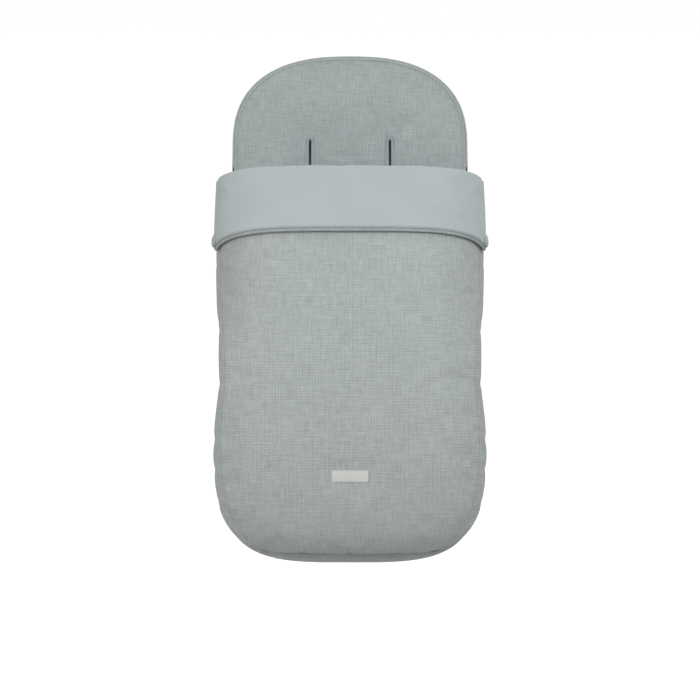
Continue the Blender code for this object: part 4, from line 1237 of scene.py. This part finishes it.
def build_roll():
    """Fold of the cover over the mouth: from its lining, over the top and down onto the cuff."""
    columns = cover_columns(0.006, 0.985, ())
    points = cover_point(columns, TOP)
    normals = cover_normal(columns, TOP)
    below = cover_point(columns, TOP - 0.06)
    ups = unit(points - below)
    over = ease((CUFF_WING + 0.02 - np.abs(columns)) / 0.05)
    inner, outer = -COVER_THICK - 0.0004, over * (CUFF_FRONT + 0.0003) + (1.0 - over) * 0.0008
    middle, radius = (inner + outer) / 2, (outer - inner) / 2
    profile = [(middle - radius, np.full(len(columns), height)) for height in (-0.013, -0.005)]
    for angle in np.linspace(0.0, math.pi, 17):
        profile.append((middle - radius * math.cos(angle), radius * 0.92 * math.sin(angle) ** 0.9))
    profile += [(middle + radius, np.full(len(columns), -0.005))]
    profile += [(middle + radius - 0.0002, np.full(len(columns), -0.012))]
    wave = 0.0005 * np.sin(columns * 23.0) + 0.0003 * np.sin(columns * 57.0 + 1.0)
    centre = points + normals * middle[:, None]
    outer_rows, inner_rows = [], []
    for k, (lift, height) in enumerate(profile):
        row = points + normals * lift[:, None] + ups * (height + (height > 0) * wave)[:, None]
        toward = centre - row
        if k < 2 or k > len(profile) - 3:
            toward = normals * (1.0 if k < 2 else -1.0)
        outer_rows.append(row)
        inner_rows.append(row + unit(toward) * ROLL_CLOTH)
    skin = np.array(outer_rows)
    across = lengths_of(np.array([points, below]))[0][None, :, 0]
    uv = paired(across, distances(skin[:, len(columns) // 2])[:, None])
    thing, held = slab("mouth_roll", skin, np.array(inner_rows), uv, (SMOOTH,), None, 1)
    refine(thing)
    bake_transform(thing)


def build_cuff_edge():
    """Bound edge of the woven cloth along the cuff's sides and lower edge, with its stitching."""
    middle = CUFF_STANDOFF + CUFF_THICK / 2 - 0.0004
    pace = front_pace(CUFF_LOW)
    columns = cover_columns(CORD_CELL, CUFF_WING)
    near, far = cover_point([CUFF_WING - 0.01, CUFF_WING], 9.0)
    wall = np.linalg.norm(far - near) / 0.01
    low, wing = CUFF_LOW - 0.0018 / pace, CUFF_WING + 0.0012 / wall
    stations = cover_rows(CUFF_LOW + 0.011 / pace, TOP, CORD_CELL)
    turn = np.linspace(0.0, math.pi / 2, 7)[1:-1]
    ride, step = 0.0128 / pace, 0.011 / wall
    arc = [(wing - step * (1.0 - math.cos(a)), low + ride * (1.0 - math.sin(a))) for a in turn]
    route = [(-wing, station) for station in stations[::-1]]
    route += [(-a, v) for a, v in arc]
    route += [(value, low) for value in columns if abs(value) < wing - step]
    route += [(a, v) for a, v in arc[::-1]] + [(wing, station) for station in stations]
    line, normals = cover_line(route, middle)
    edge = tube("cuff_bound_edge", line, CUFF_CORD, [BINDING], "cuff", 14, flatten=0.98, up=normals)
    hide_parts("cuff_piping")
    inner = [(a, v + 0.0056 / pace) for a, v in route if abs(v - low) < 1e-9]
    line, ups = cover_line(inner, CUFF_FRONT + 0.0004)
    row = stitches("cuff_stitching", line, ups, THREAD_SHADE_DARK, "cuff", CUFF_STITCH)


# Snaps

def snap_frame(sign, lift):
    """Matrix at a snap on the side wall, with Z out of the cover."""
    pace = front_pace(CUFF_LOW)
    station = CUFF_LOW + SNAP_INSET / pace
    edge = cover_point([sign * CUFF_WING], station)[0]
    inner = cover_point([sign * (COVER_CORNER + CUFF_WING) / 2], station)[0]
    above = cover_point([sign * CUFF_WING], station + SNAP_INSET / pace)[0]
    over = unit(inner - edge)
    normal = unit(np.cross(above - edge, over)) * sign
    up = unit(np.cross(normal, over)) * sign
    place = edge + over * SNAP_INSET + normal * lift
    return frame_at(place, np.cross(up, normal), up, normal)


BUTTON_HEIGHT = 0.0055
BUTTON_FOLD, BUTTON_FOLDS = 0.00022, 18
BUTTON_DOME = (
    (0.0, 1.0), (0.0022, 0.998), (0.0045, 0.985), (0.0068, 0.945), (0.0088, 0.87), (0.0104, 0.77),
    (0.0116, 0.64), (0.0123, 0.5), (0.0125, 0.36), (0.0121, 0.2), (0.0112, 0.08), (0.0098, 0.0),
)
STUD = (
    (0.0, 0.0012), (0.0018, 0.0012), (0.0026, 0.0016), (0.0034, 0.0015), (0.0040, 0.0008),
    (0.0052, 0.0007), (0.0059, 0.0004), (0.0060, 0.0), (0.0, 0.0),
)


def build_snap(side, sign):
    """Cloth-covered button with its gathered underside, and the metal stud below it."""
    high = BUTTON_HEIGHT
    profile = [(reach, high * share) for reach, share in BUTTON_DOME] + [(0.0080, -0.0003), (0.0, -0.0003)]

    def ripple(turn, height):
        return BUTTON_FOLD * np.sin(turn * BUTTON_FOLDS) * (1.0 - height / high) ** 2

    on_cuff = snap_frame(sign, CUFF_FRONT + 0.0004)
    cap = lathe(f"covered_button_{side}", profile, on_cuff, [BUTTON], "cuff", 54, ripple)
    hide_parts(f"snap_cap_{side}")
    below = lathe(f"stud_{side}", STUD, snap_frame(sign, 0.0005), [METAL], "cover", 40)
    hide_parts(f"snap_stud_{side}")


# Zips

ZIP_START = 4.6


def zip_places(step):
    """Distances along the mat from the zip's lower end to its top."""
    return np.arange(float(through(ZIP_START)[0]), STATIONS[-1][0], step)


def edge_frame(sign, s, height, out):
    """Matrix at the mat's edge: X out of the side, Y up the zip, Z across the chain."""
    along, across = mat_axes(s)
    place = mat_point(sign * (MAT_HALF_WIDTH + out), s, height)
    return frame_at(place, (sign, 0.0, 0.0), along, across)


# Half sizes of a tooth out of the mat's side and along the zip, and height, at its four levels
TOOTH_LEVELS = (
    (0.0009, 0.0006, 0.0), (0.0010, 0.0006, 0.0024), (0.0007, 0.0009, 0.0033), (0.0004, 0.0005, 0.0039),
)
TOOTH = [(x * wide, y * deep, height) for wide, deep, height in TOOTH_LEVELS
         for x, y in ((-1, -1), (1, -1), (1, 1), (-1, 1))]
TOOTH_PITCH = 0.0028
TOOTH_BEVEL = 0.00025
TAPE_CELL = 0.006
TAPE_THICK = 0.0009
STOP_GAP = 0.0033
CHAIN_LOW = RIM_HEIGHT - CHAIN_GAP / 2 - TEETH
CHAIN_HIGH = RIM_HEIGHT + CHAIN_GAP / 2 + TEETH


def build_zip(side, sign):
    """One zip: two rows of teeth on their tapes, an end stop and a slider with its pull."""
    build_teeth(side, sign)
    build_tapes(side, sign)
    build_stop(side, sign)
    build_slider(side, sign)


def build_teeth(side, sign):
    """Both rows of teeth, each tooth of one row between two of the other."""
    out = TEETH_LIFT + TEETH / 2
    places = zip_places(TOOTH_PITCH)
    near = [edge_frame(sign, s, CHAIN_LOW, out) for s in places]
    flip = Matrix.Rotation(math.pi, 4, "Y")
    far = [edge_frame(sign, s + TOOTH_PITCH / 2, CHAIN_HIGH, out) @ flip for s in places[:-1]]
    faces = rod_faces(len(TOOTH_LEVELS), 4)
    mat_row = copies(f"mat_zip_teeth_{side}", TOOTH, faces, near, [TEETH_LOOK], "mat")
    cover_row = copies(f"cover_zip_teeth_{side}", TOOTH, faces, far, [TEETH_LOOK], "cover")
    for row, node in ((mat_row, "mat_teeth"), (cover_row, "cover_teeth")):
        bevel = row.modifiers.new("soft edges", "BEVEL")
        bevel.width = TOOTH_BEVEL
        bevel.segments = 1
        settle(row)
        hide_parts(f"{node}_{side}")


def build_tapes(side, sign):
    """Tape of the mat's side and tape of the cover's side."""
    places = zip_places(TAPE_CELL)
    heights = np.linspace(0.0006, CHAIN_LOW + 0.0008, 5)
    lift = 0.0013 + 0.0009 * np.sin(np.linspace(0.0, math.pi, 5))
    front = mat_point(sign * (MAT_HALF_WIDTH + lift), places[:, None], heights)
    back = front - np.array((sign * TAPE_THICK, 0.0, 0.0))
    tape_piece(f"mat_zip_tape_{side}", front, back, places, heights, "mat", f"mat_tape_{side}")
    rise = CHAIN_HIGH - RIM_HEIGHT
    heights = np.linspace(rise - 0.0008, rise + 0.0125, 6)
    thick = np.linspace(0.0022, 0.0012, 6)[:, None]
    front, back = [], []
    for station in map(station_at, places):
        inner, rim = cover_point([0.97, 1.0], station)
        pace = np.linalg.norm(rim - inner) / 0.03
        values = sign * (1.0 - heights / pace)
        points, normals = cover_point(values, station), cover_normal(values, station)
        front.append(points + normals * thick)
        back.append(points + normals * (thick - TAPE_THICK))
    front, back = np.array(front), np.array(back)
    tape_piece(f"cover_zip_tape_{side}", front, back, places, heights, "cover", f"cover_tape_{side}")


def tape_piece(name, front, back, places, heights, body, node):
    """Zip tape between two grids; the one on the cover is wide enough to be a sheet."""
    thing, held = slab(name, front, back, paired(places[:, None], heights), (TAPE,), body, 1)
    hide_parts(node)


def rounded_block(low, high, offset):
    """Points and faces of a box between two corners, with rounded edges."""
    shape = bmesh.new()
    bmesh.ops.create_cube(shape, size=1.0)
    middle, size = (Vector(low) + Vector(high)) / 2, Vector(high) - Vector(low)
    for corner in shape.verts:
        corner.co = Vector(a * b for a, b in zip(corner.co, size)) + middle
    bmesh.ops.bevel(shape, geom=shape.edges[:], offset=offset, segments=3, affect="EDGES", profile=0.6)
    points = [tuple(corner.co) for corner in shape.verts]
    faces = [[corner.index for corner in face.verts] for face in shape.faces]
    shape.free()
    return points, faces


def merged(name, blocks, frame_of, body):
    """One metal piece made of several blocks of points and faces."""
    points, faces = [], []
    for block_points, block_faces in blocks:
        faces += [[len(points) + v for v in face] for face in block_faces]
        points += list(block_points)
    return piece(name, placed(points, frame_of), faces, [METAL], body)


def build_stop(side, sign):
    """Metal stop at the zip's lower end."""
    frame_of = edge_frame(sign, float(zip_places(TAPE_CELL)[0]) - STOP_GAP, CHAIN_LOW, 0.0)
    block = rounded_block((0.0004, -0.003, 0.0), (0.0040, 0.003, 0.0020), 0.0006)
    stop = merged(f"zip_end_stop_{side}", [block], frame_of, "mat")
    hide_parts(f"zip_stop_{side}")


SLIDER_REST = 0.012


def rings_along_z(levels, sides, middle=0.0):
    """Rings of points round Z at (z, radius) levels, moved along X."""
    turn = np.linspace(0.0, 2 * math.pi, sides, endpoint=False)
    return [(middle + radius * math.cos(a), radius * math.sin(a), z) for z, radius in levels for a in turn]


def build_slider(side, sign):
    """Zip slider with two rounded plates and a bridge, and its pull on a pin."""
    frame_of = edge_frame(sign, float(STATIONS[-1][0]) - SLIDER_REST, RIM_HEIGHT, 0.0)
    chain = CHAIN_GAP / 2 + TEETH
    top = TEETH_LIFT + TEETH + 0.0003
    plate = top + 0.0015
    blocks = [
        rounded_block((top, -0.007, -chain - 0.0012), (plate, 0.007, chain + 0.0002), 0.0006),
        rounded_block((0.0009, -0.0056, -chain), (TEETH_LIFT - 0.0003, 0.0056, chain), 0.0003),
        rounded_block((0.0012, 0.0028, -0.0009), (top + 0.0003, 0.0053, 0.0009), 0.0003),
        rounded_block((0.0019, -0.0063, -chain - 0.0009), (top + 0.0003, 0.0063, -chain - 0.0003), 0.00025),
    ]
    for place in (-1.0, 1.0):
        near, far = sorted((place * 0.0020, place * 0.0029))
        blocks.append(rounded_block((plate - 0.0003, -0.0020, near), (plate + 0.0035, 0.0020, far), 0.0004))
    pin_height = plate + 0.0022
    pin = (-0.0032, 0.0004), (-0.0031, 0.0008), (0.0031, 0.0008), (0.0032, 0.0004)
    blocks.append((rings_along_z(pin, 20, pin_height), rod_faces(len(pin), 20)))
    slider = merged(f"zip_slider_{side}", blocks, frame_of, f"slider_{side}")
    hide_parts(f"slider_{side}")
    build_pull(side, frame_of @ Matrix.Translation((pin_height, 0.0, 0.0)))


def build_pull(side, pull_frame):
    """Pull tab: an eye round the pin, a neck and a rounded plate with a slot."""
    levels = (-0.0016, 0.0018), (-0.0014, 0.0020), (0.0014, 0.0020), (0.0016, 0.0018)
    levels += (0.0016, 0.0011), (-0.0016, 0.0011)
    eye = rings_along_z(levels, 24), ring_faces(len(levels), 24)
    neck = rounded_block((-0.0007, -0.0062, -0.0014), (0.0007, -0.0015, 0.0014), 0.0003)
    pull = merged(f"zip_pull_{side}", [eye, pull_plate(), neck], pull_frame, f"pull_{side}")
    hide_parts(f"pull_{side}")


def pull_plate():
    """Plate with rounded ends and a long slot, as a ring of (x, y, z) sections."""
    count = 48
    rise = (0.0, 0.0004), (0.12, 0.0007), (0.88, 0.0007), (1.0, 0.0004)
    section = rise + tuple((share, -thick) for share, thick in rise[::-1])
    points = []
    for k in range(count):
        angle = 2 * math.pi * k / count
        c, s = math.cos(angle), math.sin(angle)
        outer_z = 0.0038 * math.copysign(abs(c) ** 0.55, c)
        outer_y = -0.0166 + 0.0112 * math.copysign(abs(s) ** 0.55, s)
        inner_z = 0.0018 * math.copysign(abs(c) ** 0.6, c)
        inner_y = -0.0178 + 0.0070 * math.copysign(abs(s) ** 0.6, s)
        for share, x in section:
            points.append((x, outer_y + (inner_y - outer_y) * share, outer_z + (inner_z - outer_z) * share))
    return points, ring_faces(count, len(section))


# Room, light and camera

FLOOR, FLOOR_SIZE, FLOOR_GLOW = -0.95, 40.0, 0.74


def build_stage():
    """White floor that the camera sees as the photograph's background."""
    mesh = bpy.data.meshes.new("floor")
    sides = (-1, -1), (1, -1), (1, 1), (-1, 1)
    ground = [(x * FLOOR_SIZE, y * FLOOR_SIZE, FLOOR) for x, y in sides]
    mesh.from_pydata(ground, [], [(0, 1, 2, 3)])
    look = Look("floor_white", (0.50, 0.485, 0.46), 0.9)
    look.paint(look.spread(look.noise(look.solid(), (1.5, 1.5, 1.5)), 0.2, 0.8, 0.995, 1.005))
    glow = look.math("MULTIPLY", look.ray("Camera"), FLOOR_GLOW)
    look.shade({"Emission Color": (1.0, 1.0, 1.0, 1.0), "Emission Strength": glow})
    mesh.materials.append(look.material)
    link("floor", mesh)


WORLD_LIGHT = 0.55
LAMPS = (
    ("key", (1.4, -2.3, 2.2), 1.8, 38.0, (0.97, 1.0, 1.0)),
    ("fill", (-2.1, -2.2, 0.9), 2.0, 21.0, (1.0, 0.99, 0.97)),
    ("back", (0.6, 2.4, 2.0), 2.0, 16.0, (1.0, 1.0, 1.0)),
)
LAMP_AIM = Vector((0.0, 0.0, 0.05))


def build_light():
    """World that looks white to the camera and lights the part less, and three soft lamps."""
    world = bpy.data.worlds.new("studio")
    bpy.context.scene.world = world
    sky = Nodes(world)
    seen = sky.math("MAXIMUM", sky.ray("Camera"), sky.ray("Glossy"))
    seen = sky.math("MAXIMUM", seen, sky.ray("Transmission"))
    strength = sky.spread(seen, 0.0, 1.0, WORLD_LIGHT, 1.0)
    sky.put(sky.tree.nodes["Background"], {"Color": (1.0, 1.0, 1.0, 1.0), "Strength": strength})
    for name, place, size, power, colour in LAMPS:
        lamp = bpy.data.lights.new(name, "AREA")
        lamp.shape = "DISK"
        lamp.size = size
        lamp.energy = power
        lamp.color = colour
        thing = link(name, lamp, place)
        thing.rotation_euler = (LAMP_AIM - Vector(place)).to_track_quat("-Z", "Y").to_euler()


CAMERA_PLACE = (0.0, -2.595, 0.66)
CAMERA_TILT = math.radians(90.0 - 14.8)
FOCAL_LENGTH = 72.5


def build_camera():
    """Camera fitted to the photograph."""
    lens = bpy.data.cameras.new("camera")
    lens.lens = FOCAL_LENGTH
    lens.sensor_width = 36.0
    lens.sensor_fit = "HORIZONTAL"
    camera = link("camera", lens, CAMERA_PLACE)
    camera.rotation_euler = (CAMERA_TILT, 0.0, 0.0)
    bpy.context.scene.camera = camera
    bpy.context.scene.view_settings.view_transform = "Standard"


build_camera()
build_light()
build_stage()
build_mat()
build_hood()
build_cover()
build_cuff()
for side, sign in SIDES:
    build_snap(side, sign)
    build_zip(side, sign)
